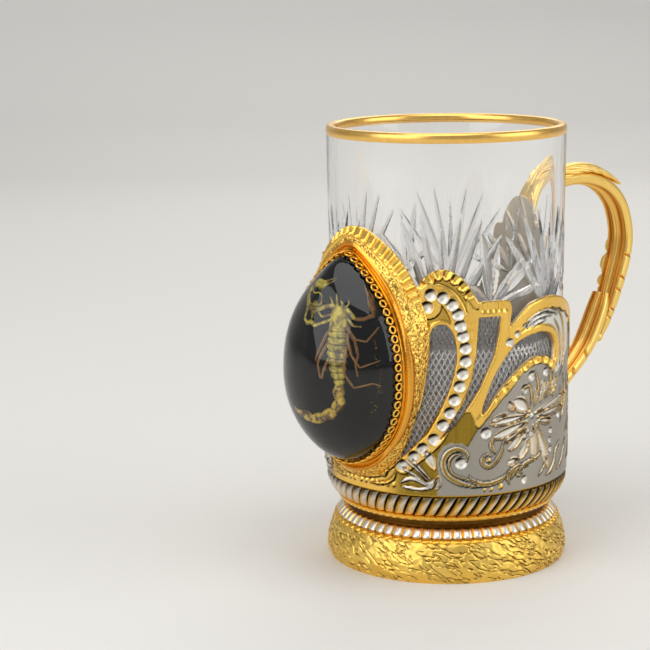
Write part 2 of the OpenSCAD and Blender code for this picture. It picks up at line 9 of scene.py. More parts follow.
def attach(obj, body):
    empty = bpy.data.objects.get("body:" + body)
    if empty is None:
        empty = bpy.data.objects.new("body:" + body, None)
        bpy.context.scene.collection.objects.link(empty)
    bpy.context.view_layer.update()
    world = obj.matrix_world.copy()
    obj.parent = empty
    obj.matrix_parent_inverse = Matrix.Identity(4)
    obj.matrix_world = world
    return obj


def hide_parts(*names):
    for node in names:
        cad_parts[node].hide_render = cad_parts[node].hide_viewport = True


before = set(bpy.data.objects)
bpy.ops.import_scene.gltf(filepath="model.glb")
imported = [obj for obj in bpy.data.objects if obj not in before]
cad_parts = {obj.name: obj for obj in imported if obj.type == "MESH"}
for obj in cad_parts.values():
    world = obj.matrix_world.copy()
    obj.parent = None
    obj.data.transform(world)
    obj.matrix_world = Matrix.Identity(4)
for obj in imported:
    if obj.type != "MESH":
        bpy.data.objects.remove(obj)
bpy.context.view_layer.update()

# Camera: a long lens about half a metre away, a little above the rim and between the medallion and
# the handle, so that the medallion is seen three-quarter on.
camera = bpy.data.objects.new("camera", bpy.data.cameras.new("camera"))
bpy.context.scene.collection.objects.link(camera)
camera.data.lens = 105.4
camera.data.sensor_width = 36
camera.data.shift_x = -0.003
ahead = Vector((0.6570, 0.7296, -0.1898)).normalized()
level = ahead.cross(Vector((0, 0, 1))).normalized()
lean = math.radians(0.72)
across = level * math.cos(lean) - level.cross(ahead) * math.sin(lean)
camera.matrix_world = Matrix((across, across.cross(ahead), -ahead)).transposed().to_4x4()
camera.location = (-0.3927, -0.3839, 0.1742)
bpy.context.scene.camera = camera

# Foot: spun brass sheet, hammered all over and gilded. Shallow marks lie edge to edge with a few short
# folds between them, and its rim is turned in to hold the closing plate.
MM = 0.001


def srgb(code):
    """The linear colour of a hex code."""
    parts = [int(code[i:i + 2], 16) / 255 for i in (1, 3, 5)]
    return [p / 12.92 if p <= 0.04045 else ((p + 0.055) / 1.055) ** 2.4 for p in parts] + [1]


def node(tree, kind, settings, links):
    """One shader node, with its settings and the sockets that feed it."""
    made = tree.nodes.new("ShaderNode" + kind)
    for key, value in settings.items():
        if isinstance(key, int) or key in made.inputs:
            made.inputs[key].default_value = value
        else:
            setattr(made, key, value)
    for key, source in links.items():
        tree.links.new(source, made.inputs[key])
    return made


def finish(name, colour, metallic, roughness):
    """A material whose Principled shader starts from a typical finish."""
    made = bpy.data.materials.new(name)
    made.use_nodes = True
    shader = made.node_tree.nodes["Principled BSDF"]
    shader.inputs["Base Color"].default_value = srgb(colour)
    shader.inputs["Metallic"].default_value = metallic
    shader.inputs["Roughness"].default_value = roughness
    return made, made.node_tree, shader


def coords(tree):
    """Places on the piece, in metres."""
    return node(tree, "TexCoord", {}, {}).outputs["Object"]


def noise(tree, spot, scale, detail):
    """Smooth random value whose coarsest waves are one metre over scale long."""
    return node(tree, "TexNoise", {"Scale": scale, "Detail": detail}, {"Vector": spot}).outputs["Fac"]


def cells(tree, spot, scale):
    """Distance to the middle of the nearest cell, for punch marks and granules."""
    return node(tree, "TexVoronoi", {"Scale": scale}, {"Vector": spot}).outputs["Distance"]


def value_of(tree, name):
    """A value that the mesh carries at each of its points."""
    return node(tree, "Attribute", {"attribute_name": name}, {}).outputs["Fac"]


# Sockets of Blender's colour mixing node
MIX_SHARE, MIX_FIRST, MIX_SECOND, MIX_RESULT = 0, 6, 7, 2


def blend(tree, share, first, second):
    """From the first colour to the second by a share. Each colour is a hex code or a socket."""
    settings, links = {"data_type": "RGBA"}, {MIX_SHARE: share}
    for key, colour in ((MIX_FIRST, first), (MIX_SECOND, second)):
        if isinstance(colour, str):
            settings[key] = srgb(colour)
        else:
            links[key] = colour
    return node(tree, "Mix", settings, links).outputs[MIX_RESULT]


def scaled(tree, value, low, high, start=0, end=1):
    """From low to high while the value goes from start to end."""
    limits = {"From Min": start, "From Max": end, "To Min": low, "To Max": high}
    return node(tree, "MapRange", limits, {"Value": value}).outputs["Result"]


def bumped(tree, value, strength, distance):
    """Fine relief from a value, up to a distance in metres."""
    settings = {"Strength": strength, "Distance": distance}
    return node(tree, "Bump", settings, {"Height": value}).outputs["Normal"]


def feed(tree, shader, colour=None, roughness=None, normal=None):
    """Connect what a finish is made of to its shader."""
    for key, source in (("Base Color", colour), ("Roughness", roughness), ("Normal", normal)):
        if source is not None:
            tree.links.new(source, shader.inputs[key])


def coat(names, surface):
    """Give a finish to nodes that keep the frame's own mesh."""
    for name in names:
        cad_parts[name].data.materials.clear()
        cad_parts[name].data.materials.append(surface)


def flowing(places, spacing, closed=False):
    """Evenly spaced points along a smooth line through the given places."""
    p = np.asarray(places, float)
    before, after = (p[-1:], p[:2]) if closed else (2 * p[:1] - p[1:2], 2 * p[-1:] - p[-2:-1])
    p = np.vstack([before, p, after])
    t = np.linspace(0, 1, 16, endpoint=False)[:, None]
    line = [0.5 * (2 * b + (c - a) * t + (2 * a - 5 * b + 4 * c - d) * t ** 2
                   + (3 * b - a - 3 * c + d) * t ** 3) for a, b, c, d in zip(p, p[1:], p[2:], p[3:])]
    line = np.vstack(line + [p[-2:-1]])
    run = np.r_[0, np.cumsum(np.linalg.norm(np.diff(line, axis=0), axis=1))]
    stops = np.linspace(0, run[-1], max(2, round(run[-1] / spacing) + 1))
    return np.stack([np.interp(stops, run, line[:, k]) for k in range(line.shape[1])], 1)


def ripple(u, v, seed):
    """Smooth random height from 0 to 1 with a cell of one unit."""
    table = np.random.default_rng(seed).random((257, 257))
    i, j = np.floor(u).astype(int), np.floor(v).astype(int)
    f, g = u - i, v - j
    f, g = f * f * (3 - 2 * f), g * g * (3 - 2 * g)
    a, b, c, d = (table[(i + x) % 257, (j + y) % 257] for x, y in ((0, 0), (1, 0), (0, 1), (1, 1)))
    return (a * (1 - f) + b * f) * (1 - g) + (c * (1 - f) + d * f) * g


def quads(rows, columns, close_rows=False, close_columns=True):
    """Faces between rings of points."""
    r = np.arange(rows if close_rows else rows - 1)[:, None]
    c = np.arange(columns if close_columns else columns - 1)[None, :]
    s, d = (r + 1) % rows * columns, (c + 1) % columns
    return np.stack([r * columns + c, r * columns + d, s + d, s + c], -1).reshape(-1, 4).tolist()


def piece(name, points, faces, body, slot, surface, marks=None, sharp=40):
    """A closed mesh from points in millimetres, which rides on its body. Marks are values per point."""
    mesh = bpy.data.meshes.new(name)
    mesh.from_pydata((np.asarray(points, float).reshape(-1, 3) * MM).tolist(), [], faces)
    for key, values in (marks or {}).items():
        layer = mesh.attributes.new(key, "FLOAT", "POINT")
        layer.data.foreach_set("value", np.ascontiguousarray(values, np.float32).ravel())
    work = bmesh.new()
    work.from_mesh(mesh)
    bmesh.ops.remove_doubles(work, verts=work.verts, dist=1e-6)
    bmesh.ops.recalc_face_normals(work, faces=work.faces)
    work.to_mesh(mesh)
    work.free()
    mesh.shade_smooth()
    mesh.set_sharp_from_angle(angle=math.radians(sharp))
    mesh.materials.append(surface)
    made = bpy.data.objects.new(name, mesh)
    bpy.context.scene.collection.objects.link(made)
    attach(made, body)
    return made


def circle(count):
    """Angles of evenly spaced points once around."""
    return np.linspace(0, 2 * math.pi, count, endpoint=False)


def straight_ramp(x, low, high):
    """Straight step from 0 at low to 1 at high."""
    return np.clip((x - low) / (high - low), 0, 1)


def lathe(profile, turn, lift=0):
    """Rings of points around the axis of the cup, lifted outwards."""
    profile = np.asarray(profile, float)
    r = profile[:, :1] + lift
    return np.stack([r * np.cos(turn), r * np.sin(turn), profile[:, 1:] + 0 * r * turn], -1)


# Gilding over hammered brass: a thin even plating with a satin shine, with painted shade in brown on the
# sides of the marks that face down and along the folds
hammered, tree, shader = finish("hammered_gilding", "#F8D068", 1, 0.25)
spot = coords(tree)
# Clouds of about 8 mm, and pits of about 0.6 mm, twice as coarse as real ones
pits = noise(tree, spot, 1600, 3)
clouded = blend(tree, noise(tree, spot, 125, 2), "#FBD874", "#EFBE4E")
feed(tree, shader, blend(tree, value_of(tree, "recess"), clouded, "#5E3C0C"), scaled(tree, pits, 0.3, 0.44),
     bumped(tree, pits, 0.25, 0.0001))

FOOT_R, MARK_ROWS, MARKS = 35, 8, 66
turn = circle(1080)[None, :]
foot_line = flowing([(33.1, 11.3), (33.8, 10.0), (34.8, 7.0), (35.3, 4.3), (35.3, 2.4), (34.6, 0)], 0.2)
tall = foot_line[:, 1:]
marks_at = np.random.default_rng(5)
mark = np.full((len(foot_line), turn.size), 99.0)
for row in range(MARK_ROWS):
    for k in range(MARKS):
        angle = (k + 0.5 * (row % 2) + marks_at.uniform(-0.42, 0.42)) * 2 * math.pi / MARKS
        height = 1.65 * row - 0.2 + marks_at.uniform(-0.7, 0.7)
        off = FOOT_R * ((turn - angle + math.pi) % (2 * math.pi) - math.pi)
        tilt = marks_at.uniform(-0.55, 0.55)
        away = (off ** 2 * 0.42 + (tall - height + tilt * off) ** 2) * marks_at.uniform(0.8, 1.25)
        mark = np.minimum(mark, away + marks_at.uniform(0, 0.8))
dent = 0.07 * np.clip(mark, 0, 3) - 0.1 + 0.16 * ripple(turn * 60 / math.pi + 9, tall * 0.8, 3)
# Folds run along the lines where a slow ripple passes its middle, broken up by a second one
around = turn * FOOT_R + 1.2 * tall
fold = ripple(around * 0.55, tall * 0.85, 4) + 0.4 * ripple(around * 1.2, tall * 1.7, 6) - 0.7
broken = straight_ramp(ripple(around * 0.4 + 7, tall * 0.5, 8), 0.22, 0.36)
folds = broken * np.clip(1 - np.abs(fold) / 0.17, 0, 1)
dent -= 0.36 * folds
dent *= np.clip((tall + 0.4) / 1.2, 0, 1) * np.clip((11.6 - tall) / 0.6, 0, 1)
# Painted shade: the sides of the marks that face down, and the folds, are painted brown
slope = np.gradient(dent, axis=0) / np.gradient(foot_line[:, 1])[:, None]
painted_crease_shade = np.clip(np.maximum((slope - 0.24) / 0.3, 0.7 * folds ** 3), 0, 1)
foot_inside = [(33.3, 0), (33.3, 1), (32.1, 1), (32.1, 2.2), (33.3, 3.4), (32.1, 10.1), (2.6, 10.1),
               (2.6, 11.3)]
rings = np.concatenate([lathe(foot_line, turn, dent), lathe(foot_inside, turn)])
painted_crease_shade = np.vstack([painted_crease_shade, np.zeros((len(foot_inside), turn.size))])
foot = piece("hammered_foot", rings, quads(len(rings), turn.size, True), "holder", "hammered_gilt",
             hammered, {"recess": painted_crease_shade}, 60)
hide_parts("foot_skirt")

# Closing plate, and the screw, washer and nut that clamp the foot to the cup: turned brass and
# zinc-plated steel, plain machined surfaces that stay hidden in use.
turned, tree, shader = finish("turned_brass", "#C9A25A", 1, 0.3)
spot = coords(tree)
# Turning marks 0.8 mm apart, drawn coarser than a lathe leaves them
rings_along_z = {"wave_type": "RINGS", "rings_direction": "Z", "Scale": 400, "Distortion": 0.6}
rounds = node(tree, "TexWave", rings_along_z, {"Vector": spot}).outputs["Fac"]
stained = blend(tree, noise(tree, spot, 220, 4), "#D3AE66", "#A8813F")
feed(tree, shader, stained, normal=bumped(tree, rounds, 0.3, 0.00008))
zinc, tree, shader = finish("zinc_plated_steel", "#C4C6C8", 1, 0.35)
feed(tree, shader, roughness=scaled(tree, cells(tree, coords(tree), 900), 0.25, 0.5))
coat(("base_plate", "clamp_screw", "clamp_nut"), turned)
coat(("clamp_washer",), zinc)

# Beaded ring and rope moulding: pressed brass rings, nickel-plated, with gold left along their rims and
# between the lobes. The lobes have a satin polish, and the hollows between them carry painted shade.
BEAD_LOBES, ROPE_STRANDS, PER_LOBE, RING_BORE = 68, 66, 16, 24.9
nickel_gold, tree, shader = finish("nickel_over_gilding", "#D9D3C8", 1, 0.2)
# Satin grain of about 0.4 mm
satin = noise(tree, coords(tree), 2400, 2)
plated = blend(tree, value_of(tree, "silver"), "#F2BC49", "#E6DFD4")
feed(tree, shader, blend(tree, value_of(tree, "recess"), plated, "#241A0C"), scaled(tree, satin, 0.2, 0.42),
     bumped(tree, satin, 0.12, 0.00006))


def lobed(profile, lobes, per_lobe, swell, twist=0):
    """Rings along a profile whose lobes swell outwards, with the share along it and across a lobe."""
    n = lobes * per_lobe
    along = np.linspace(0, 1, len(profile))[:, None] + np.zeros((1, n))
    part = np.arange(n)[None, :] / per_lobe % 1 + np.zeros((len(profile), 1))
    turn = 2 * math.pi * np.arange(n)[None, :] / n + math.radians(twist) * along
    return lathe(profile, turn, swell(along, part)), along, part


def pressed_ring(name, slot, front_rings, back_line, silver, recess):
    """A lobed ring closed by a plain back, with its plating and its shade on the front."""
    n = front_rings.shape[1]
    rings = np.concatenate([front_rings, lathe(back_line, circle(n)[None, :])])
    blank = np.zeros((len(back_line), n))
    marks = {"silver": np.vstack([silver, blank]), "recess": np.vstack([recess, blank])}
    return piece(name, rings, quads(len(rings), n, True), "holder", slot, nickel_gold, marks, 50)


def bead(along, part):
    """Upright pillows that end in a scalloped rim below."""
    side = np.sqrt(np.clip(1 - ((2 * part - 1) / 0.9) ** 2, 0, 1))
    pillow = np.clip(1 - np.abs((along - 0.36) / 0.33) ** 4, 0, 1) ** 0.5
    rim = np.clip(1 - np.abs((along - 0.87) / 0.13) ** 2.5, 0, 1) ** 0.5
    return 0.85 * side * pillow + (0.1 + 0.6 * side) * rim


bead_line = flowing([(29.7, 15.0), (30.1, 14.7), (31.0, 13.7), (31.9, 12.6), (32.5, 11.9), (33.0, 11.25)],
                    0.12)
rings, along, part = lobed(bead_line, BEAD_LOBES, PER_LOBE, bead)
across_lobe = np.abs(2 * part - 1)
silver = (1 - np.clip((across_lobe - 0.66) / 0.12, 0, 1)) * (np.abs(along - 0.38) < 0.3)
# Painted shade: dark pits low in the gaps between lobes, and a lighter shade at the lobes' upper ends
pit = np.clip(1 - np.hypot((across_lobe - 1) / 0.34, (along - 0.7) / 0.1), 0, 1) ** 0.5
recess = np.maximum(pit, 0.55 * np.clip(1 - np.hypot(across_lobe / 0.8, (along - 0.03) / 0.07), 0, 1))
bead_back = [(RING_BORE, 11.35), (RING_BORE, 15.0)]
beads = pressed_ring("beaded_ring_lobes", "silvered_brass", rings, bead_back, silver, recess)
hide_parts("beaded_ring")


def strand(along, part):
    """Rope strands, rounded across and closed below, on a round that runs up to a plain step."""
    side = np.sqrt(np.clip(1 - (2 * part - 1) ** 2, 0, 1))
    ends = np.clip(1 - np.abs((along - 0.46) / 0.45) ** 5, 0, 1) ** 0.5
    return (1.3 * side - 0.25) * ends


rope_line = flowing([(31.5, 19.0), (32.3, 19.7), (33.3, 21.2), (34.1, 23.0), (34.5, 24.8), (34.7, 25.5),
                     (34.7, 26.05)], 0.16)
rings, along, part = lobed(rope_line, ROPE_STRANDS, PER_LOBE, strand, 6.5)
silver = straight_ramp(part, 0.42, 0.62) * straight_ramp(0.97 - part, 0, 0.1)
silver = silver * straight_ramp(along, 0.1, 0.3) * (along < 0.9)
# Painted shade: each strand is dark on one side and its far edge and over its upper part, and half dark along
# the step at the top
recess = np.maximum(1 - straight_ramp(part, 0.1, 0.42), straight_ramp(part, 0.88, 0.98))
shaded = 0.85 * straight_ramp(along - 0.3 * part, 0.38, 0.66)
recess = np.maximum(recess, shaded) * straight_ramp(along, 0.03, 0.1)
recess = np.where(along > 0.93, 0.45, recess)
rope_back = [(RING_BORE, 26.05), (RING_BORE, 19.0)]
rope = pressed_ring("rope_moulding", "gilt_brass", rings, rope_back, silver, recess)
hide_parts("rope_ring")

# Neck, lip, cup floor, bezel and gallery: brass, gilded and polished to a mirror. The floor is
# pressed sheet, the gallery is a row of soldered wire rings around the stone.
gilding, tree, shader = finish("polished_gilding", "#F3BE4C", 1, 0.12)
spot = coords(tree)
# Clouds of about 6 mm, and a fine polishing grain of about 0.3 mm
grain = noise(tree, spot, 3000, 1)
clouded = blend(tree, noise(tree, spot, 160, 2), "#F6C758", "#E8A93C")
feed(tree, shader, clouded, scaled(tree, grain, 0.08, 0.24), bumped(tree, grain, 0.1, 0.00005))
# The undercut neck is gilding painted dark brown as shade, mottled in spots of 1 mm
neck_painted_shade, tree, shader = finish("gilding_in_painted_shade", "#5A3C12", 1, 0.4)
feed(tree, shader, blend(tree, noise(tree, coords(tree), 900, 3), "#7A551C", "#3A260C"))
coat(("neck_collar",), neck_painted_shade)
coat(("lip_ring", "cup_floor", "bezel_band", "gallery_rings"), gilding)

# Wall: brass sheet, embossed from behind and pierced, then gilded, with nickel plating laid over the
# flat fields and the dimples. Its outline rises in scrolls, arches and a leaf behind the handle.
SHEET_IN, SHEET_OUT, LAYOUT_R, SHEET_LOW = 34.4, 35.4, 36, 26.1
PLAIN_RELIEF, RELIEF_LOW, RELIEF_HIGH = 0.35, -0.6, 0.85
ARC = LAYOUT_R * math.pi / 180


def on_sheet(places):
    """Places given in degrees and height, laid flat in millimetres."""
    return np.asarray(places, float) * [ARC, 1]


def to_line(u, z, line):
    """Distance from each place to a line, and how far along it that is, from 0 to 1."""
    best, where = np.full(u.shape, 1e9), np.zeros(u.shape)
    run = np.r_[0, np.cumsum(np.linalg.norm(np.diff(line, axis=0), axis=1))]
    for k, (a, b) in enumerate(zip(line[:-1], line[1:])):
        d = b - a
        t = np.clip(((u - a[0]) * d[0] + (z - a[1]) * d[1]) / max(d @ d, 1e-9), 0, 1)
        away = np.hypot(u - a[0] - t * d[0], z - a[1] - t * d[1])
        near = away < best
        best = np.where(near, away, best)
        where = np.where(near, (run[k] + t * (run[k + 1] - run[k])) / run[-1], where)
    return best, where


def within(u, z, outline):
    """Signed distance to a closed outline, positive inside."""
    inside = np.zeros(u.shape, bool)
    for a, b in zip(outline, np.roll(outline, -1, axis=0)):
        if a[1] != b[1]:
            hit = ((z < a[1]) != (z < b[1])) & (u < (b[0] - a[0]) * (z - a[1]) / (b[1] - a[1]) + a[0])
            inside ^= hit
    away = to_line(u, z, np.vstack([outline, outline[:1]]))[0]
    return np.where(inside, away, -away)


def ramp(x, low, high):
    """Soft step from 0 at low to 1 at high."""
    t = np.clip((x - low) / (high - low), 0, 1)
    return t * t * (3 - 2 * t)


edge = [(-14, 92.6), (-11, 97.2), (-6, 101.4), (0, 102.5), (6, 101.4), (11, 97.2), (12.6, 94.2), (15, 94.1),
        (17.4, 92.6), (19, 86.5), (23, 78.8), (30, 68.9), (38, 61.2), (40, 60.5), (43, 63.5), (47, 68.9),
        (53, 73.5), (60.6, 76.6), (71, 79.2), (81, 80.2), (93, 79.2), (98.5, 77.1), (103, 74.6)]
bracket = [(106.2, 73.1), (105.5, 76.1), (105.1, 78.6), (106.3, 80.6), (109, 80.9), (121, 80.8)]
scroll = [(122.6, 82.3), (124.6, 84.5), (129.5, 88.0), (136, 90.0), (142, 89.2), (147, 86.5), (151, 81.9)]
crest = [(151.6, 83.0), (155.5, 86.5), (160, 90.7), (166, 94.9), (172, 97.2), (180, 98.3), (188, 97.2)]
top_edge = np.vstack([flowing(on_sheet(part), 0.6) for part in (edge, bracket, scroll, crest)])
sheet_edge = np.vstack([top_edge, [[190 * ARC, 0], [-16 * ARC, 0]]])
stem_window = flowing(on_sheet([
    (137.6, 74.8), (140.6, 74.2), (142.7, 71.9), (143.6, 64.3), (146.4, 53.6), (149.4, 48.1), (152.8, 43.1),
    (158.6, 35.4), (147.4, 42.0), (140.4, 48.4), (134.6, 55.7), (131.5, 62.8), (131, 67.4), (132.4, 71.9),
    (135, 74.4)]), 0.6, True)
tall_window = on_sheet([
    (121, 76.5), (110.3, 76.5), (111.2, 71.2), (113.4, 65.4), (120.3, 56.3), (126, 50.9), (131.8, 46.1),
    (138.8, 41.7), (133, 47.6), (128, 52.5), (124.2, 59.0), (122.2, 65.8)])
crescent = flowing(on_sheet([
    (119.4, 50.5), (115.4, 57.4), (110.6, 62.8), (103.8, 67.7), (96.3, 69.9), (87.5, 70.4), (80.5, 69.3),
    (76, 66.6), (75.4, 63.5), (77.2, 61.2), (84, 63.2), (92.5, 63.4), (101.5, 60.5), (110.6, 55.5),
    (116, 50.9), (118.8, 48.9)]), 0.6, True)

# The sheet is cut out of a fine net: whole squares inside, and trimmed ones along its edges
PITCH = 0.3
across_u, up_z = np.linspace(0, 180 * ARC, round(180 * ARC / PITCH) + 1), np.arange(25.95, 103.2, PITCH)
u, z = np.meshgrid(across_u, up_z, indexing="ij")
metal = within(u, z, sheet_edge)
for window in (stem_window, tall_window, crescent):
    metal = np.minimum(metal, -within(u, z, window))
metal = np.minimum(metal, z - SHEET_LOW)
metal = np.where(np.abs(metal) < 0.02, 0.02, metal)
kept = metal > 0
number = np.full(metal.shape, -1)
number[kept] = np.arange(kept.sum())
whole = kept[:-1, :-1] & kept[1:, :-1] & kept[1:, 1:] & kept[:-1, 1:]
corners = [number[:-1, :-1], number[1:, :-1], number[1:, 1:], number[:-1, 1:]]
front = np.stack([c[whole] for c in corners], -1).tolist()
part_cells = np.argwhere((kept[:-1, :-1] | kept[1:, :-1] | kept[1:, 1:] | kept[:-1, 1:]) & ~whole)
crossing, cut_places, rim_edges = {}, [], []
for i, j in part_cells:
    ring, walk = [(i, j), (i + 1, j), (i + 1, j + 1), (i, j + 1)], []
    for a, b in zip(ring, ring[1:] + ring[:1]):
        if kept[a]:
            walk.append((number[a], False))
        if kept[a] != kept[b]:
            key = (min(a, b), max(a, b))
            if key not in crossing:
                share = metal[key[0]] / (metal[key[0]] - metal[key[1]])
                crossing[key] = kept.sum() + len(cut_places)
                cut_places.append((u[key[0]] + share * (u[key[1]] - u[key[0]]),
                                   z[key[0]] + share * (z[key[1]] - z[key[0]])))
            walk.append((crossing[key], True))
    front.append([w[0] for w in walk])
    rim_edges += [(a[0], b[0]) for a, b in zip(walk, walk[1:] + walk[:1]) if a[1] and b[1]]
cut_places = np.array(cut_places)
u, z = np.r_[u[kept], cut_places[:, 0]], np.r_[z[kept], cut_places[:, 1]]
to_top = to_line(u, z, top_edge)[0]
to_stem, to_tall, to_crescent = (-within(u, z, w) for w in (stem_window, tall_window, crescent))
to_rim = np.minimum.reduce([to_top, to_stem, to_tall, to_crescent])
deg = u / ARC

# Heights above the plain sheet, what finish lies where, and where shade is painted
height, silver, olive, recess = (np.zeros(u.shape) for _ in range(4))


def place_on(mask, lift=None, plate=None, shade=None, tone=None):
    """Blend a height, finishes and painted shade in where mask is 1."""
    for values, wanted in ((height, lift), (silver, plate), (recess, shade), (olive, tone)):
        if wanted is not None:
            values[:] = values * (1 - mask) + wanted * mask


def stroke(places, width, lift, plate, taper=(0.2, 0.2), core=0):
    """A raised line with rounded sides, thinner towards its ends, chased around its foot, with painted shade
    in the chased line.
    """
    line = flowing(on_sheet(places), 0.4)
    low, high = line.min(0) - width - 0.6, line.max(0) + width + 0.6
    box = (u > low[0]) & (u < high[0]) & (z > low[1]) & (z < high[1])
    away, share = to_line(u[box], z[box], line)
    thin = np.minimum(0.15 + share / taper[0], 0.15 + (1 - share) / taper[1])
    half = width / 2 * np.minimum(1, thin)
    height[box] += lift * np.sqrt(np.clip(1 - (away / half) ** 2, 0, 1))
    mask = ramp(half - away, -0.05, 0.12)
    silver[box] = silver[box] * (1 - mask) + plate * mask
    olive[box] *= 1 - mask
    if core:
        gutter = core * ramp(0.5 * half - away, -0.12, 0.12)
        height[box] -= 0.5 * lift * gutter
        olive[box] = np.maximum(olive[box], gutter)
        silver[box] *= 1 - gutter
    chased_foot = np.clip(1 - np.abs(away - half - 0.16) / 0.22, 0, 1)
    height[box] -= 0.14 * chased_foot
    # Painted shade in the chased line around the foot
    recess[box] = np.maximum(recess[box], 0.8 * chased_foot)


def petal(root, tip, width, depth):
    """A hollow plated leaf from root to tip, widest past its middle, with a raised gilt edge."""
    a, b = on_sheet([root])[0], on_sheet([tip])[0]
    d = b - a
    long = np.hypot(*d)
    box = np.hypot(u - (a[0] + b[0]) / 2, z - (a[1] + b[1]) / 2) < long / 2 + width
    s = ((u[box] - a[0]) * d[0] + (z[box] - a[1]) * d[1]) / long ** 2
    side = ((u[box] - a[0]) * -d[1] + (z[box] - a[1]) * d[0]) / long
    half = width / 2 * np.sin(math.pi * np.clip(s, 0, 1) ** 1.35) ** 0.6 + 1e-6
    inside = (s > 0) & (s < 1) & (np.abs(side) < half)
    hollow = np.where(inside, np.clip(1 - (side / half) ** 2, 0, 1) ** 0.6, 0)
    edge = np.exp(-((np.abs(side) - half - 0.05) / 0.24) ** 2) * (s > -0.03) * (s < 1.03)
    height[box] += 0.42 * edge - depth * hollow
    silver[box] = np.where(inside, 1, silver[box]) * (1 - 0.85 * edge)
    olive[box] *= 1 - np.maximum(edge, inside)


def dimple(place, across, depth, rim=0.12, plate=1):
    """A polished round dent, or a ball where the depth is negative, with a thin raised rim."""
    c = on_sheet([place])[0]
    box = np.hypot(u - c[0], z - c[1]) < across
    d = np.hypot(u[box] - c[0], z[box] - c[1]) / (across / 2)
    bowl = np.clip(1 - d ** 2, 0, 1) ** (0.95 if depth > 0 else 0.6)
    height[box] += np.where(d < 1, -depth * bowl, 0) + rim * np.exp(-((d - 1.08) / 0.14) ** 2)
    mask = ramp(1 - d, -0.02, 0.12)
    silver[box] = silver[box] * (1 - mask) + plate * mask
    olive[box] *= 1 - mask


# Plain relief: the raised edge bands, the gilt panel with the scroll, the silver fields below
arch = ((deg > 42) & (deg < 106.6) & (z > 48)).astype(float)
lobe = ((deg > 121) & (deg < 152.5) & (z > 70)).astype(float)
gilt_edge = on_sheet([
    (120.8, 45.2), (125.8, 40.1), (128.9, 41.1), (133.5, 41.3), (136.9, 40.4), (139.2, 38.0), (139.8, 35.0),
    (138.9, 31.4), (139.8, 29.6), (139.8, 25), (40, 25), (40, 70), (73.2, 57.5), (78.0, 58.0), (79.8, 59.6),
    (84.2, 61.2), (90.0, 61.8), (95.1, 61.1), (98.3, 60.4), (101.3, 58.4), (105.6, 55.4), (108.3, 53.9),
    (111.7, 51.8)])
field = within(u, z, gilt_edge)
height += PLAIN_RELIEF
place_on(ramp(field, -0.1, 0.1), 0.12, 1, tone=1)
facet = on_sheet([(124.6, 49.7), (120.8, 45.2), (125.8, 40.1), (128, 30), (134, 25), (168, 25), (168, 50),
                  (140, 50)])
faded = (field < 0) * (z < 50) * ramp(166 - deg, 0, 12)
place_on(ramp(within(u, z, facet), -0.1, 0.1) * faded, 0.12, 0, 0, 1)
# Painted shade in the groove along the edge of the gilt panel
place_on(np.clip(1 - np.abs(field + 0.15) / 0.28, 0, 1) * (deg > 104) * (deg < 127), 0.0, shade=0.75)
# The handle's leaf: silver inside a gilt edge
leaf_zone = ((deg < 42) | ((deg < 62) & (to_top > 3.2) & (z < 70))).astype(float)
place_on(leaf_zone * ramp(to_top, 2.2, 2.6), 0.12, 1, tone=1)
place_on((deg < 62) * (1 - ramp(to_top, 2.2, 2.6)), tone=0)
# Scalloped edge of the arch, its plated strip and the gilt edges around the crescent
scallop = 3.2 + 0.55 * np.abs(np.sin(u / 1.45))
strip = arch * ramp(to_top, scallop, scallop + 0.3) * (deg > 58) * (deg < 98) * (to_crescent > 0)
strip = strip * ramp(to_crescent, 2.3, 2.6)
strip_low = (deg > 58) & (deg < 76) & (z > 47) & (z < 70) & (to_crescent > 2.3) & (to_top > 3)
place_on(np.maximum(strip, strip_low.astype(float)), 0.22, 1, tone=(field > 0).astype(float))
place_on(arch * (1 - ramp(to_top, scallop - 0.1, scallop + 0.2)), 0.62, 0, tone=0)
place_on(arch * (1 - ramp(to_crescent, 1.9, 2.2)) * (z > 60) * (field < 1.5), 0.6, 0, tone=0)
# Gilt band of cut lobes between the crescent and the field, each over a hollow in its shade
lobes_line = flowing(on_sheet([(120, 46.8), (112, 52.6), (104.5, 57.6), (98.3, 61.6), (91, 63.2), (84, 62.6),
                               (78.6, 59.4)]), 0.5)
place_on((1 - ramp(to_line(u, z, lobes_line)[0], 1.5, 1.8)) * (field < 0.2), 0.6, 0, tone=0)
for place, across in (((116.6, 51.0), 0.9), ((112.5, 53.4), 1.8), ((108.1, 56.2), 2.4), ((102.9, 59.4), 3.1),
                      ((97.6, 61.6), 3.2), ((91.4, 63.0), 3.3), ((85.2, 62.6), 3.0), ((80.6, 61.0), 2.4)):
    dimple(place, across, 0.6, 0.05, 0)
# Scroll: gilt border with scoops, sunken olive ground, raised stem that curls at its top
stem = [(138.6, 77.2), (141.5, 76.2), (145.2, 77.2), (146.4, 80.4), (143.6, 83.4), (138.5, 83.4), (134, 81.4),
        (130.6, 77.8), (129, 74.4), (128.1, 71.4), (127.2, 68.2), (127, 64.5), (128.2, 60.9), (129.5, 57.5),
        (131.8, 54.4), (133.9, 50.1), (137.2, 46.4), (140.9, 42.4), (146, 39.4), (150.4, 37.1), (155.4, 34.2)]
SCOOPS = 8
run = to_line(u, z, flowing(on_sheet(scroll), 0.5))[1]
scoop = np.hypot((run * SCOOPS % 1 - 0.5) * 2.75, np.maximum(to_top - 1.5, 0)) / 1.28
inner = lobe * ramp(to_top, 1.7, 1.9) * ramp(to_stem, 0.9, 1.1) * ramp(to_tall, 0.9, 1.2)
place_on(inner * (deg > 126.5), 0.05, 0, 0, 0.55)
border = lobe * (z > 79) * np.maximum(1 - ramp(to_top, 1.6, 1.8), 1 - ramp(scoop, 1.1, 1.2))
place_on(border, 0.66, 0, 0, 0)
height -= 0.75 * border * np.clip(1 - scoop ** 2, 0, 1)
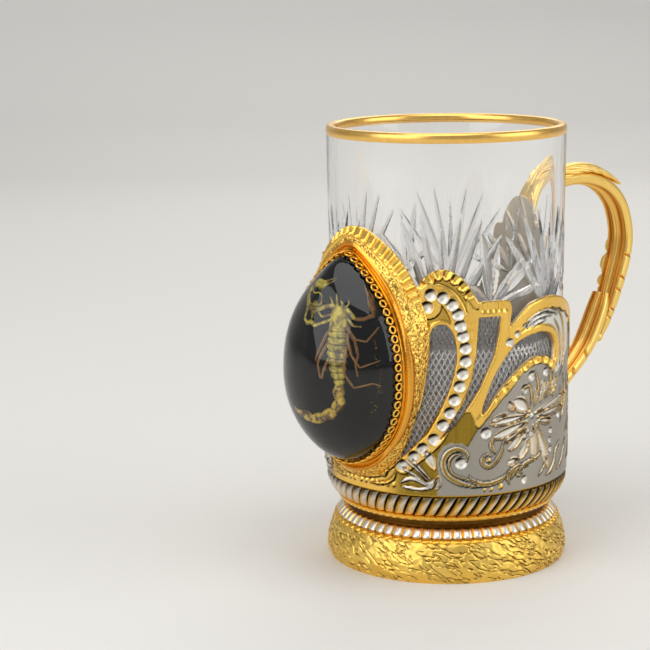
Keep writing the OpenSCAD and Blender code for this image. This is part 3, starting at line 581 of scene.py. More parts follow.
# Painted shade in a thin line around each scoop of the border
place_on(lobe * (z > 79) * (to_top > 1.2) * np.clip(1 - np.abs(scoop - 1.2) / 0.14, 0, 1), shade=0.85)
away, share = to_line(u, z, flowing(on_sheet(stem[3:]), 0.4))
place_on((1 - ramp(away, 2.35, 2.6)) * (to_rim > -1), 0.55, 0, 0, 0)
# Painted shade along the outer side of the stem
place_on(np.clip(1 - np.abs(away - 2.62) / 0.22, 0, 1) * inner * (deg > 126.5), shade=0.9)
disc = np.hypot(u - 143.6 * ARC, z - 80.0)
place_on((1 - ramp(disc, 3.7, 3.9)) * lobe * (to_top > 3.2), 0.5, 0, 0, 0)
# Painted shade under the disc
place_on(np.clip(1 - np.abs(disc - 3.95) / 0.25, 0, 1) * lobe * (z < 79.5) * (to_top > 3.2), shade=0.9)
# Bracket: flutes pressed into its face
flute = np.abs(np.sin(math.pi * (deg - 107) / 2.6))
height -= 0.4 * flute * ramp(z, 77.4, 78.6) * ((deg > 107) & (deg < 120))
# Dimples of the stem, polished and plated
for place in [(143.9, 79.6), (142.3, 83.1), (136.9, 82.3), (133.0, 80.3), (130.4, 77.6), (129.3, 74.4),
              (128.1, 71.5), (127.1, 68.1), (127.0, 64.5), (128.3, 60.9), (129.6, 57.4), (131.9, 53.6),
              (133.9, 49.9), (137.0, 46.4), (141.0, 42.3), (145.9, 39.5), (150.1, 37.1), (155.6, 34.4)]:
    dimple(place, 3.5, 0.8, 0.1)
for place, across in (((106.1, 68.9), 2.5), ((102.3, 71.1), 1.9), ((97.7, 73.0), 1.7)):
    dimple(place, across, 0.5)

# Acanthus of the arch: long curling leaves with chased veins between them
for line in ([(99.0, 73.2), (94.8, 75.0), (88.7, 76.1), (81, 76.0), (73.6, 74.2)],
             [(96.6, 72.4), (91.9, 74.2), (86, 75.0), (79, 74.6)],
             [(94.0, 72.2), (89.4, 73.4), (84, 73.6)]):
    stroke(line, 1.05, 0.35, 1, taper=(0.6, 0.35))
for line in ([(79, 76.6), (71.5, 74.8), (66.4, 70.2), (64.9, 65.0), (66.4, 59.6), (69.8, 56.2)],
             [(76.4, 73.0), (71.2, 69.0), (69.4, 64.2), (70.4, 59.4)],
             [(66.0, 56.0), (63.5, 51.5), (64.6, 46.4), (68.8, 42.4)],
             [(69.5, 52.5), (67.2, 49.0), (68.3, 45.6)]):
    stroke(line, 0.9, 0.3, 0, taper=(0.5, 0.5))
# Flower with long hollow petals in the middle of the field, and dents around it
for root, tip, width in (((95.6, 47.2), (115.4, 46.2), 2.0), ((95.8, 45.4), (114.6, 42.0), 2.5),
                         ((96.0, 43.6), (108.6, 40.6), 1.5), ((94.6, 48.4), (103.2, 52.2), 3.7),
                         ((107.2, 48.6), (115.2, 46.8), 1.5), ((103.8, 49.2), (106.0, 51.8), 1.8),
                         ((91.0, 47.6), (64.0, 50.4), 1.8), ((89.4, 46.2), (68.4, 47.0), 1.8),
                         ((88.6, 45.0), (78.8, 44.0), 1.8), ((92.4, 44.2), (91.8, 33.8), 2.3),
                         ((89.8, 44.4), (81.4, 30.6), 2.6), ((97.6, 42.6), (106.2, 38.2), 2.2),
                         ((94.8, 40.2), (100.4, 35.2), 2.4), ((100.6, 35.0), (106.6, 34.4), 2.0),
                         ((91.8, 49.8), (90.0, 54.6), 1.4), ((87.6, 50.6), (85.2, 56.2), 2.0),
                         ((79.6, 51.6), (74.4, 56.0), 1.9), ((82.4, 51.4), (80.6, 55.4), 1.4)):
    petal(root, tip, width, 0.65)
for place, across in (((93.2, 46.9), 1.5), ((97.6, 41.2), 1.5), ((93.8, 41.6), 1.4), ((95.6, 42.8), 1.3)):
    dimple(place, across, -0.45, 0.1)
for place, across in (((117.4, 43.7), 3.3), ((93.4, 58.4), 2.8), ((83.7, 58.6), 2.7), ((97.4, 55.0), 2.6),
                      ((85.6, 54.0), 1.7), ((79.2, 41.0), 1.9), ((79.7, 38.3), 1.8), ((79.1, 35.6), 1.7),
                      ((71.4, 44.7), 2.2)):
    dimple(place, across, 0.8, 0.12)
for line in ([(88.6, 52.4), (89.4, 56.4), (91.4, 59.6)], [(84.0, 51.0), (80.0, 55.6), (81.0, 59.4)],
             [(77.4, 51.0), (76.4, 55.0), (77.6, 58.2)],
             [(98.6, 53.6), (95.0, 55.8), (93.4, 53.0), (94.0, 50.0)]):
    stroke(line, 0.6, 0.3, 0, taper=(0.3, 0.3))
# Scrolls along the bottom: the great volute, the small one, leaves and balls
for line, width in (
        ([(126.4, 35.8), (126.0, 37.8), (128.6, 39.2), (132.0, 39.3), (135.3, 38.0), (136.9, 35.3),
          (135.4, 32.2), (131.1, 30.2), (125.6, 28.9), (119.5, 28.3)], 1.3),
        ([(128.0, 37.5), (131.3, 37.9), (133.8, 36.6), (134.4, 34.4), (132.4, 32.2), (127.7, 30.9),
          (122, 29.9)], 0.6),
        ([(114.7, 36.9), (116.5, 37.4), (118.3, 37.0), (119.2, 35.8), (118.1, 34.4), (115.5, 34.0),
          (112.3, 35.5), (109.9, 38.2), (109.0, 41.2)], 1.0),
        ([(113.9, 42.2), (114.9, 39.9), (112.9, 37.4)], 0.9),
        ([(125.1, 31.6), (123.4, 30.2), (119.0, 29.0), (113.8, 29.2), (109.1, 30.2), (105.8, 32.2)], 1.2),
        ([(105.8, 28.3), (106.4, 30.1), (105.0, 31.8), (101.5, 33.0), (97, 33.2)], 1.1),
        ([(104.7, 29.6), (102.9, 31.4), (99.8, 32.4), (95, 32.6)], 0.8),
        ([(98.7, 30.6), (100.9, 30.2), (101.0, 31.0), (97.0, 33.4), (90.0, 34.4), (86.5, 36.0)], 1.0),
        ([(82.2, 28.4), (78.1, 29.4), (75.1, 31.6), (73.5, 34.6), (69.9, 37.0)], 1.2),
        ([(72.4, 28.9), (67.4, 30.4), (63.7, 33.6), (60.7, 36.4)], 1.2),
        ([(88, 28.8), (84.2, 31.2), (81.6, 33.6)], 0.7),
        ([(60.5, 38.5), (56, 40.5), (52.6, 44.5), (52, 50), (54.6, 54), (58.6, 54.6), (59.6, 51.6),
          (57.4, 50.2)], 1.0),
        ([(58, 30), (53, 30.4), (48.6, 33.4), (47.4, 38), (50, 41.4), (53.6, 40.8), (53.4, 37.8)], 1.0),
        ([(47, 28.6), (42.5, 31.6), (40.6, 36.6), (42.4, 42), (46.5, 46)], 1.1)):
    stroke(line, width * 1.2, 0.5, 0.7, taper=(0.25, 0.3), core=1)
dimple((128.9, 35.4), 3.6, 0.8, 0)
dimple((97.4, 28.8), 2.4, 0.6, 0)
for place, across, plate in (((110.4, 27.9), 1.7, 0),
                             ((115.1, 27.4), 1.1, 0), ((118.2, 27.4), 0.9, 0), ((116.3, 35.8), 1.2, 0),
                             ((57.6, 52.2), 1.8, 1), ((51.6, 38.9), 1.8, 1)):
    dimple(place, across, -0.42, 0, plate)
# Lily on the olive ground below the dimples, plated
stroke([(156.6, 29.2), (152.8, 30.6), (148.4, 30.4), (143.6, 29.2), (139.8, 31.2)], 1.3, 0.4, 1)
stroke([(156.4, 28.2), (151.5, 27.9), (146.9, 27.8), (142.0, 28.6), (139.6, 30.4)], 1.0, 0.35, 1)
for line in ([(153.8, 36.0), (148.4, 33.2), (143.0, 29.9)], [(150.6, 36.0), (146.2, 33.0), (142.2, 30.4)],
             [(155.4, 33.6), (149.8, 31.7), (144.0, 29.5)]):
    stroke(line, 0.75, 0.45, 1, taper=(0.1, 0.6))
petal((140.6, 33.6), (144.6, 38.8), 2.6, 0.55)
petal((138.8, 31.6), (140.4, 28.0), 1.8, 0.4)
# Fan of lobed leaves under the medallion, gilded like the frame
for line, width in (([(158.5, 32.6), (160.5, 30.0), (165, 28.6), (172, 27.9)], 1.1),
                    ([(160.5, 33.4), (166, 31.0), (172, 30.0), (180, 29.6)], 1.0),
                    ([(170, 33.2), (174, 31.4), (180, 31.0)], 0.9),
                    ([(168.2, 31.9), (166.4, 33.6), (163.4, 32.4), (164.6, 30.6), (167.2, 31.0)], 0.7),
                    ([(158, 35.0), (161.5, 33.4), (163.5, 34.6)], 0.8)):
    stroke(line, width, 0.45, 0, taper=(0.3, 0.3))
for a in range(160, 181, 3):
    dimple((a, 28.4), 1.5, -0.35, 0, 0)
# The leaf behind the handle: a midrib with curling side veins
stroke([(0, 60), (0, 80), (0, 98)], 1.6, 0.5, 0, taper=(0.2, 0.2))
for k in range(5):
    low_place = 40 + 9 * k
    vein = [(1.5, low_place), (8, low_place + 7 - k), (15 - 1.6 * k, low_place + 8),
            (17 - 1.8 * k, low_place + 3)]
    stroke(vein, 1.0, 0.4, 0, taper=(0.2, 0.4))
    dimple((14.4 - 1.6 * k, low_place + 4.2), 1.7, -0.35, 0, 1)
stroke([(2, 30), (10, 34), (20, 33), (28, 37), (30, 44), (25, 47), (22, 43)], 1.1, 0.45, 0)
stroke([(38, 30), (30, 31), (24, 36), (22, 41)], 0.9, 0.35, 0)
stroke([(36, 36), (34, 44), (36, 51), (32, 56), (28, 53)], 1.0, 0.4, 0)

# Faces that look down get painted shade, as in each dent under its upper edge. The sheet's rim is rounded,
# soft waves of 0.6 mm break up the gold, and nothing stands past the relief.
sheet = np.full(kept.shape, PLAIN_RELIEF)
sheet[kept] = height[:kept.sum()]
sideways, upwards = np.gradient(sheet, PITCH)
overhang_painted_shade = np.clip((0.93 * upwards + 0.37 * sideways - 0.1) / 0.38, 0, 1)[kept]
recess[:kept.sum()] = np.maximum(recess[:kept.sum()], overhang_painted_shade)
height *= ramp(to_rim, -0.35, 0.32)
height += 0.035 * (ripple(u * 1.7, z * 1.7, 11) - 0.5)
height[:] = np.clip(height, RELIEF_LOW, RELIEF_HIGH)
silver, olive, recess = (np.clip(v, 0, 1) for v in (silver, olive, recess))

# Gilding and nickel plating on embossed sheet: bright on the raised parts, with painted shade in the chased
# lines and under upper edges. On the deeper ground the gold is painted olive in place of dark reflections on
# polished gold, and the nickel is a matted grey.
two_tone, tree, shader = finish("gilt_and_plated_sheet", "#F0B944", 1, 0.2)
spot = coords(tree)
plate, ground = value_of(tree, "silver"), value_of(tree, "olive")
warm = blend(tree, noise(tree, spot, 140, 3), "#FAD06C", "#F0BC50")
# Upright streaks of about 1 mm
streaks = node(tree, "Mapping", {"Scale": (900, 900, 60)}, {"Vector": spot}).outputs["Vector"]
# Painted reflection: olive gold in upright streaks stands in for the dark reflections of the polished ground
olive_painted_reflection = blend(tree, noise(tree, streaks, 1, 2), "#6E5A1A", "#B09038")
gold = blend(tree, ground, warm, olive_painted_reflection)
cool = blend(tree, plate, gold, blend(tree, ground, "#E9E4DA", "#A8A297"))
# Matting punch marks of about 0.4 mm, a little coarser than real ones
matting = noise(tree, spot, 2600, 2)
satin = scaled(tree, plate, 0.18, 0.38)
grit = node(tree, "Math", {"operation": "MULTIPLY_ADD", 1: 0.16}, {0: matting, 2: satin}).outputs["Value"]
# Painted shade in near black from the mark in the mesh
feed(tree, shader, blend(tree, value_of(tree, "recess"), cool, "#1E160A"), grit,
     bumped(tree, matting, 0.16, 0.00006))

# The front and the inside of one half, the cut edges between them, and the same half mirrored
count = u.size
angle = np.tile(u / LAYOUT_R, 2)
radius = np.r_[SHEET_OUT + height, np.full(count, SHEET_IN)]
half_wall = np.stack([radius * np.cos(angle), radius * np.sin(angle), np.tile(z, 2)], -1)
half_faces = front + [[k + count for k in reversed(face)] for face in front]
half_faces += [[a, b, b + count, a + count] for a, b in rim_edges]
faces = half_faces + [[k + 2 * count for k in reversed(face)] for face in half_faces]
finishes = (("silver", silver, 0.7), ("olive", olive, 0), ("recess", recess, 0))
marks = {name: np.tile(np.r_[values, np.full(count, inner)], 2) for name, values, inner in finishes}
wall = piece("embossed_wall", np.vstack([half_wall, half_wall * [1, -1, 1]]), faces, "holder",
             "two_tone_wall", two_tone, marks, 60)
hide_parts("wall_shell")

# Medallion frame: cast brass, gilded. Its face is stippled with a fine punch, a smooth roll runs
# round the stone, and the upper edge is fluted. It stands on the wall all round.
MIDDLE_Z, GIRDLE_X, AROUND, DEEP_ROWS = 60.0, 38.0, 960, 56
FRAME_EDGE_R, FRAME_BACK_R = 36.05, 35.5


def egg(width, height, count):
    """Egg outline about its widest place, in the medallion's own plane."""
    a = circle(count)
    s = np.sin(a)
    pull = np.where(s > 0, 0.5, 0.12)
    up = s * height * np.where(s > 0, 0.566, 0.434)
    return np.stack([width / 2 * np.cos(a) * (1 - pull * s ** 4), up], -1)


def egg_at(width, height, x, count):
    """The same outline at a distance in front of the axis."""
    e = egg(width, height, count)
    return np.stack([np.full(count, -x), e[:, 0], MIDDLE_Z + e[:, 1]], -1)


lip = egg_at(45.0, 62.0, GIRDLE_X, AROUND)
# Its outline on the wall, as heights and half widths
girth = np.array([(29.2, 0), (29.9, 4.5), (31, 7.5), (34, 12), (38.9, 15.7), (45.4, 18.5), (52.8, 20.4),
                  (58.6, 21.8), (65.8, 23.1), (72.3, 23.3), (78, 22.2), (84, 20), (90, 16.8), (95, 12.4),
                  (98.7, 7), (100.4, 3.4), (100.9, 0)])
half = flowing(girth[:, ::-1] - [0, MIDDLE_Z], 0.4)
outline = np.vstack([half, (half * [-1, 1])[::-1]])
bearing, order = np.unique(np.arctan2(outline[:, 1], outline[:, 0]), return_index=True)
toward = np.arctan2(lip[:, 2] - MIDDLE_Z, lip[:, 1])
far = np.interp(toward, bearing, np.hypot(outline[:, 0], outline[:, 1])[order], period=2 * math.pi)
shape = np.stack([far * np.cos(toward), far * np.sin(toward)], -1)
turn = shape[:, 0] / LAYOUT_R
on_wall = np.stack([-np.cos(turn), np.sin(turn), np.zeros(AROUND)], -1)
foot_up = np.stack([np.zeros(AROUND), np.zeros(AROUND), MIDDLE_Z + shape[:, 1]], -1)
outer = on_wall * FRAME_EDGE_R + foot_up
run = np.r_[0, np.cumsum(np.linalg.norm(np.diff(outer, axis=0), axis=1))][None, :]
# Where the frame is narrow, its side bulges out over the bezel
t = np.linspace(0, 1, DEEP_ROWS)[:, None, None]
middle = (lip + outer) / 2
narrow = (1 - ramp(far - np.hypot(lip[:, 1], lip[:, 2] - MIDDLE_Z), 0.5, 3))[:, None]
middle += narrow * (np.stack([outer[:, 0] - 1.5, lip[:, 1], lip[:, 2]], -1) - middle)
slope = lip[None] * (1 - t) ** 2 + 2 * middle[None] * t * (1 - t) + outer[None] * t ** 2
ahead_of = np.array([-1, 0, 0]) * (4 * t * (1 - t)) * 0.9
away = outer - lip
out = np.cross(away, np.roll(lip, -1, axis=0) - lip)
out /= np.linalg.norm(out, axis=1)[:, None]
out *= np.sign(-out[:, 0] + out[:, 1] * np.cos(toward) + out[:, 2] * np.sin(toward))[:, None]
# Smooth roll, stippled face and fluted upper edge, by the distance from the lip
t2 = t[..., 0]
down = t2 * np.linalg.norm(away, axis=1)
upper = ramp(outer[:, 2], 79, 84)[None, :]
roll = np.exp(-((down - 0.9) / 0.75) ** 2) * 0.75
sand = (np.abs(ripple(run * 1.8 + 3, down * 1.8 + 5, 21) - 0.5) * 2) ** 0.7
sand = 0.36 * sand + 0.1 * ripple(run * 3.1, down * 3.1, 22)
sanded = ramp(down, 1.9, 2.3) * (1 - upper * ramp(t2, 0.44, 0.5)) * (1 - ramp(t2, 0.95, 1.0))
flute = np.abs(np.sin(math.pi * run / 2.45))
fluted = upper * ramp(t2, 0.5, 0.58) * (1 - ramp(t2, 0.96, 1.0))
lift = roll + sanded * (sand - 0.2) + fluted * (0.7 - 0.95 * flute ** 0.8 * ramp(t2, 0.5, 0.72))
face = slope + ahead_of * (1 - 0.3 * upper[..., None]) * (1 - narrow[None]) + out[None] * lift[..., None]
seat = egg_at(44.2, 61.2, GIRDLE_X, AROUND)
seat_turn = turn * 0.86
seat_out, seat_side = -FRAME_BACK_R * np.cos(seat_turn), FRAME_BACK_R * np.sin(seat_turn)
seat_back = np.stack([seat_out, seat_side, MIDDLE_Z + 0.9 * shape[:, 1]], -1)
rings = np.concatenate([face, (on_wall * FRAME_BACK_R + foot_up)[None], seat_back[None], seat[None]])
# Painted shade in the low spots of the stippling and in the bottoms of the flutes
groove_painted_shade = np.clip((0.2 - sand) / 0.14, 0, 1) * sanded + fluted * np.clip((0.25 - flute) / 0.2, 0, 1) * 0.5
blush = np.exp(-((down - 0.9) / 1.0) ** 2)

stippled, tree, shader = finish("stippled_gilding", "#EDB03C", 1, 0.22)
# Punch marks of about 0.5 mm between the larger ones, which are in the mesh
punched = cells(tree, coords(tree), 1900)
rubbed = blend(tree, value_of(tree, "blush"), "#FACB62", "#E39A34")
feed(tree, shader, blend(tree, value_of(tree, "recess"), rubbed, "#5A3408"),
     normal=bumped(tree, punched, 0.35, 0.00012))
plain = np.zeros((3, AROUND))
marks = {"recess": np.vstack([groove_painted_shade, plain]), "blush": np.vstack([blush, plain])}
medallion = piece("medallion_mount", rings, quads(len(rings), AROUND, True), "holder", "stippled_gilt",
                  stippled, marks, 60)
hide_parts("medallion_frame")

# Backing plate behind the stone: glossy black enamel, which makes the resin look bottomless. It keeps
# the frame's own mesh.
enamel, tree, shader = finish("black_enamel", "#0A0908", 0, 0.12)
feed(tree, shader, blend(tree, noise(tree, coords(tree), 60, 2), "#060606", "#15120C"))
coat(("backing_plate",), enamel)

# Scorpion: a small dried one, cast into the resin. Olive yellow body of plates, amber legs and
# a tail of beads that ends in a sting.
STONE_W, STONE_H, STONE_Z, DOME_H = 42, 59, 63.9, 17.7


def in_stone(p):
    """Place in the resin from shares of the stone's half width and height, and of the dome's depth."""
    p = np.asarray(p, float)
    across, up = STONE_W / 2 * p[:, 0], STONE_H / 2 * p[:, 1]
    return np.stack([-GIRDLE_X - DOME_H * p[:, 2], -across, STONE_Z + up], -1)


def capped(rows, columns):
    """Faces of a tube of rings, closed by two fans to the two points that follow the rings."""
    end, total = (rows - 1) * columns, rows * columns
    start_fan = [[total, (k + 1) % columns, k] for k in range(columns)]
    end_fan = [[total + 1, end + k, end + (k + 1) % columns] for k in range(columns)]
    return quads(rows, columns) + start_fan + end_fan


def limb(line, radii, sides=14, flat=1.0, front=(-1, 0, 0)):
    """A closed tube along a line of points with a radius at each, flattened towards the front."""
    line, radii = np.asarray(line, float), np.asarray(radii, float)
    ahead = np.gradient(line, axis=0)
    ahead /= np.linalg.norm(ahead, axis=1)[:, None]
    side = np.cross(ahead, np.asarray(front, float))
    side /= np.linalg.norm(side, axis=1)[:, None]
    up = np.cross(side, ahead)
    a = circle(sides)[None, :, None]
    ring = line[:, None] + radii[:, None, None] * (side[:, None] * np.cos(a) + flat * up[:, None] * np.sin(a))
    return np.vstack([ring.reshape(-1, 3), line[:1], line[-1:]]), capped(len(line), sides)


def gather(parts):
    """Several closed shapes as one list of points and faces."""
    points, faces, base = [], [], 0
    for p, f in parts:
        points.append(p)
        faces += [[k + base for k in face] for face in f]
        base += len(p)
    return np.vstack(points), faces


chitin, tree, shader = finish("dried_chitin", "#B5A03C", 0, 0.38)
spot = coords(tree)
shader.inputs["Coat Weight"].default_value = 0.3
# Plates change from olive to amber in patches of about 1.7 mm, with granules of about 0.4 mm
patch = scaled(tree, noise(tree, spot, 600, 4), 0, 1, 0.42, 0.6)
tone = blend(tree, value_of(tree, "recess"), blend(tree, patch, "#E6D648", "#7A6014"), "#2E2408")
feed(tree, shader, tone, normal=bumped(tree, cells(tree, spot, 2600), 0.5, 0.00015))
amber, tree, shader = finish("amber_chitin", "#8C5E22", 0, 0.35)
feed(tree, shader, blend(tree, noise(tree, coords(tree), 700, 2), "#B8842C", "#5E3410"))
# The tail's beads are mottled with darker brown in patches of about 1.4 mm
tail_shell, tree, shader = finish("brown_gold_chitin", "#9C7420", 0, 0.3)
mottled = scaled(tree, noise(tree, coords(tree), 700, 4), 0, 1, 0.42, 0.58)
feed(tree, shader, blend(tree, mottled, "#E2C246", "#5E3A0C"))

spine = flowing(in_stone([(0.0, 0.46, 0.15), (0.02, 0.37, 0.16), (0.03, 0.27, 0.17), (0.03, 0.13, 0.17),
                          (0.02, -0.02, 0.17), (0.03, -0.14, 0.16), (0.04, -0.22, 0.15)]), 0.08)
share = np.linspace(0, 1, len(spine))
plump = np.interp(share, [0, 0.04, 0.15, 0.32, 0.5, 0.7, 0.86, 1],
                  [1.2, 2.0, 2.45, 2.6, 2.7, 2.45, 1.75, 1.0])
BODY_SIDES = 32
plates = np.where(share > 0.3, 1 - 0.17 * np.abs(np.cos(math.pi * (share - 0.3) / 0.7 * 8)) ** 4,
                  1 - 0.05 * np.abs(np.cos(math.pi * share / 0.3 * 2)) ** 6)
body_parts = [limb(spine, plump * plates, BODY_SIDES, 0.72)]
keel = np.abs(np.cos(circle(BODY_SIDES)[None, :] * 3)) ** 8
between = 0.8 * np.clip((0.9 - plates[:, None]) / 0.08, 0, 1) + 0.45 * keel * (share[:, None] > 0.3)
for side in (-1, 1):
    eye = in_stone([(0.012 + 0.028 * side, 0.36, 0.255)])[0]
    body_parts.append(limb([eye - [0.1, 0, 0.25], eye, eye + [0, 0, 0.25]], [0.05, 0.3, 0.05], 10))
for line, thick in (([(-0.05, 0.44, 0.16), (-0.09, 0.48, 0.17), (-0.13, 0.54, 0.18)], 0.32),
                    ([(-0.02, 0.45, 0.16), (-0.03, 0.5, 0.17), (-0.04, 0.57, 0.18)], 0.36),
                    ([(0.06, 0.46, 0.16), (0.05, 0.5, 0.17), (0.02, 0.52, 0.18)], 0.4),
                    ([(0.1, 0.46, 0.16), (0.15, 0.5, 0.17), (0.16, 0.54, 0.18)], 0.26)):
    line = flowing(in_stone(line), 0.2)
    body_parts.append(limb(line, np.linspace(thick, 0.08, len(line)), 10))
points, faces = gather(body_parts)
between = np.r_[np.clip(between, 0, 1).ravel(), np.zeros(len(points) - between.size)]
scorpion = piece("scorpion_trunk", points, faces, "holder", "dried_scorpion", chitin, {"recess": between}, 70)
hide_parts("scorpion_body")

tail_line = flowing(in_stone([
    (0.04, -0.2, 0.15), (0.03, -0.29, 0.16), (0.05, -0.34, 0.16), (0.01, -0.39, 0.17), (-0.05, -0.44, 0.18),
    (-0.16, -0.48, 0.19), (-0.28, -0.51, 0.2), (-0.38, -0.48, 0.21), (-0.47, -0.46, 0.22),
    (-0.52, -0.43, 0.22)]), 0.08)
share = np.linspace(0, 1, len(tail_line))
bulbs = 0.62 + 0.38 * np.abs(np.sin(math.pi * share * 5.5)) ** 0.5
size = np.interp(share, [0, 0.1, 0.5, 0.75, 0.87, 1], [1.0, 1.4, 1.35, 1.2, 0.85, 0.1])
tail = piece("scorpion_tail_beads", *limb(tail_line, size * bulbs, 24, 0.85), "holder", "dried_scorpion",
             tail_shell, sharp=70)
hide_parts("scorpion_tail")


def jointed(places, thick):
    """A limb of straight joints, each a little thicker at its far end."""
    bends = in_stone(places)
    points, radii = [], []
    for k, (a, b) in enumerate(zip(bends, bends[1:])):
        t = np.linspace(0, 1, 10, endpoint=k == len(bends) - 2)
        points.append(a + (b - a) * t[:, None])
        radii.append(np.interp(t, [0, 0.12, 0.6, 0.9, 1], [0.72, 0.9, 1.05, 1.1, 0.75])
                     * np.interp(k + t, range(len(thick)), thick))
    return limb(np.vstack(points), 0.72 * np.concatenate(radii), 12)


def pincer(root, tips, thick, spread):
    """A hand that swells and splits into two thin fingers."""
    line = flowing(in_stone(root), 0.12)
    share = np.linspace(0, 1, len(line))
    parts = [limb(line, thick * np.interp(share, [0, 0.12, 0.5, 0.62, 1], [0.5, 0.95, 1, 0.5, 0.1]), 16)]
    line = flowing(in_stone(tips), 0.12)
    share = np.linspace(0, 1, len(line))
    parts.append(limb(line + np.array([0, 0, spread]) * np.sin(math.pi * share)[:, None],
                      thick * np.interp(share, [0, 0.3, 1], [0.6, 0.42, 0.1]), 12))
    return parts


claw_parts = [jointed([(-0.05, 0.44, 0.15), (-0.14, 0.46, 0.16), (-0.31, 0.41, 0.18), (-0.34, 0.54, 0.18)],
                      [0.75, 0.8, 0.95, 0.7]),
              jointed([(0.11, 0.45, 0.15), (0.24, 0.37, 0.15)], [0.7, 0.65])]
claw_parts += pincer([(-0.34, 0.54, 0.18), (-0.25, 0.62, 0.18), (-0.18, 0.68, 0.18), (-0.06, 0.73, 0.18)],
                     [(-0.25, 0.61, 0.19), (-0.17, 0.66, 0.2), (-0.06, 0.71, 0.19)], 0.6, -0.1)
claws = piece("scorpion_pincers", *gather(claw_parts), "holder", "dried_scorpion", chitin, sharp=70)
far_claw = [jointed([(0.24, 0.37, 0.15), (0.36, 0.38, 0.12), (0.51, 0.44, 0.1)], [0.6, 0.75, 0.8])]
far_claw += pincer([(0.51, 0.45, 0.1), (0.47, 0.52, 0.1), (0.44, 0.58, 0.1), (0.34, 0.7, 0.1)],
                   [(0.49, 0.55, 0.1), (0.49, 0.61, 0.1), (0.42, 0.66, 0.1)], 0.85, 0.15)
piece("scorpion_far_pincer", *gather(far_claw), "holder", "dried_scorpion", amber, sharp=70)
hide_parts("scorpion_claws")

near_legs = [jointed([(-0.08, 0.34, 0.15), (-0.2, 0.3, 0.2), (-0.31, 0.27, 0.2), (-0.37, 0.31, 0.17),
                      (-0.34, 0.4, 0.15), (-0.36, 0.48, 0.14)], [0.5, 0.55, 0.6, 0.5, 0.42, 0.3]),
             jointed([(-0.09, 0.38, 0.15), (-0.23, 0.35, 0.17), (-0.31, 0.39, 0.14)], [0.42, 0.4, 0.22]),
             jointed([(-0.32, 0.43, 0.17), (-0.25, 0.47, 0.18), (-0.25, 0.53, 0.18), (-0.27, 0.57, 0.18)],
                     [0.3, 0.26, 0.22, 0.12]),
             jointed([(0.11, 0.4, 0.15), (0.18, 0.36, 0.18), (0.24, 0.31, 0.17), (0.32, 0.31, 0.13)],
                     [0.5, 0.48, 0.4, 0.2])]
piece("scorpion_front_legs", *gather(near_legs), "holder", "dried_scorpion", chitin, sharp=70)
LEG_THICK = [0.5, 0.52, 0.42, 0.34, 0.26, 0.14]
leg_parts = [jointed(places, LEG_THICK[:len(places)]) for places in (
    [(-0.08, 0.27, 0.15), (-0.12, 0.2, 0.2), (-0.18, 0.1, 0.2), (-0.25, 0.01, 0.17), (-0.27, -0.04, 0.14)],
    [(-0.08, 0.16, 0.15), (-0.12, 0.1, 0.19), (-0.19, 0.01, 0.18), (-0.24, -0.06, 0.15),
     (-0.23, -0.18, 0.12)],
    [(-0.08, 0.03, 0.14), (-0.11, -0.03, 0.17), (-0.17, -0.11, 0.15), (-0.21, -0.18, 0.12)],
    [(0.13, 0.31, 0.15), (0.18, 0.28, 0.19), (0.27, 0.2, 0.17), (0.4, 0.19, 0.13), (0.58, 0.34, 0.09)],
    [(0.14, 0.24, 0.15), (0.18, 0.2, 0.2), (0.23, 0.06, 0.19), (0.31, -0.04, 0.14), (0.43, 0.0, 0.1),
     (0.57, 0.04, 0.07)],
    [(0.14, 0.12, 0.16), (0.19, 0.05, 0.26), (0.19, -0.09, 0.28), (0.23, -0.22, 0.15), (0.46, -0.17, 0.09),
     (0.56, -0.19, 0.06)],
    [(0.15, 0.22, 0.12), (0.22, 0.18, 0.12), (0.25, 0.05, 0.1), (0.19, -0.02, 0.08), (0.21, -0.13, 0.06)])]
legs = piece("scorpion_walking_legs", *gather(leg_parts), "holder", "dried_scorpion", amber, sharp=70)
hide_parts("scorpion_legs")

# Gold dust in the resin: flakes of foil that lie in a loose line beside the animal, from its far
# pincer down to its tail. They show only in the scene.
FLAKES = 64
FLAKE_FACES = [[0, 1, 4], [1, 2, 4], [2, 3, 4], [3, 0, 4], [1, 0, 5], [2, 1, 5], [3, 2, 5], [0, 3, 5]]
dust = np.random.default_rng(12)
trail = flowing(in_stone([(0.48, 0.36, 0.06), (0.53, 0.3, 0.06), (0.47, 0.16, 0.06), (0.5, 0.02, 0.06),
                          (0.56, -0.12, 0.06), (0.54, -0.24, 0.06), (0.48, -0.32, 0.06),
                          (0.38, -0.46, 0.06)]), 0.1)
flakes = []
for k in range(FLAKES):
    c = trail[dust.integers(len(trail))] + dust.normal(0, (0.25, 0.55, 0.55))
    s = dust.uniform(0.05, 0.15)
    p = c + s * np.array([(0, -1, 0), (0, 0, -1), (0, 1, 0.3), (0, 0, 1), (-0.4, 0, 0), (0.4, 0, 0)])
    flakes.append((p, FLAKE_FACES))
piece("gold_flakes", *gather(flakes), "holder", "gilt_brass", gilding, sharp=20)

# Stone: a high dome of clear casting resin, polished. The dome is a lens, so it magnifies what is
# cast into it.
resin, tree, shader = finish("clear_casting_resin", "#FFFFFF", 0, 0.0)
shader.inputs["Transmission Weight"].default_value = 1
shader.inputs["IOR"].default_value = 1.5
feed(tree, shader, blend(tree, noise(tree, coords(tree), 50, 1), "#FFFFFF", "#F1EBDC"))
BACK_X, DOME_SIDES = 36.6, 160
dome = [egg_at(STONE_W, STONE_H, x, DOME_SIDES) for x in (BACK_X, 37.9)]
for a in np.radians(np.arange(0, 90, 3)):
    across, up = STONE_W * math.cos(a), STONE_H * math.cos(a)
    dome.append(egg_at(across, up, GIRDLE_X + DOME_H * math.sin(a), DOME_SIDES))
ends = [[-BACK_X, 0, MIDDLE_Z], [-GIRDLE_X - DOME_H, 0, MIDDLE_Z]]
points = np.vstack([np.array(dome).reshape(-1, 3), ends])
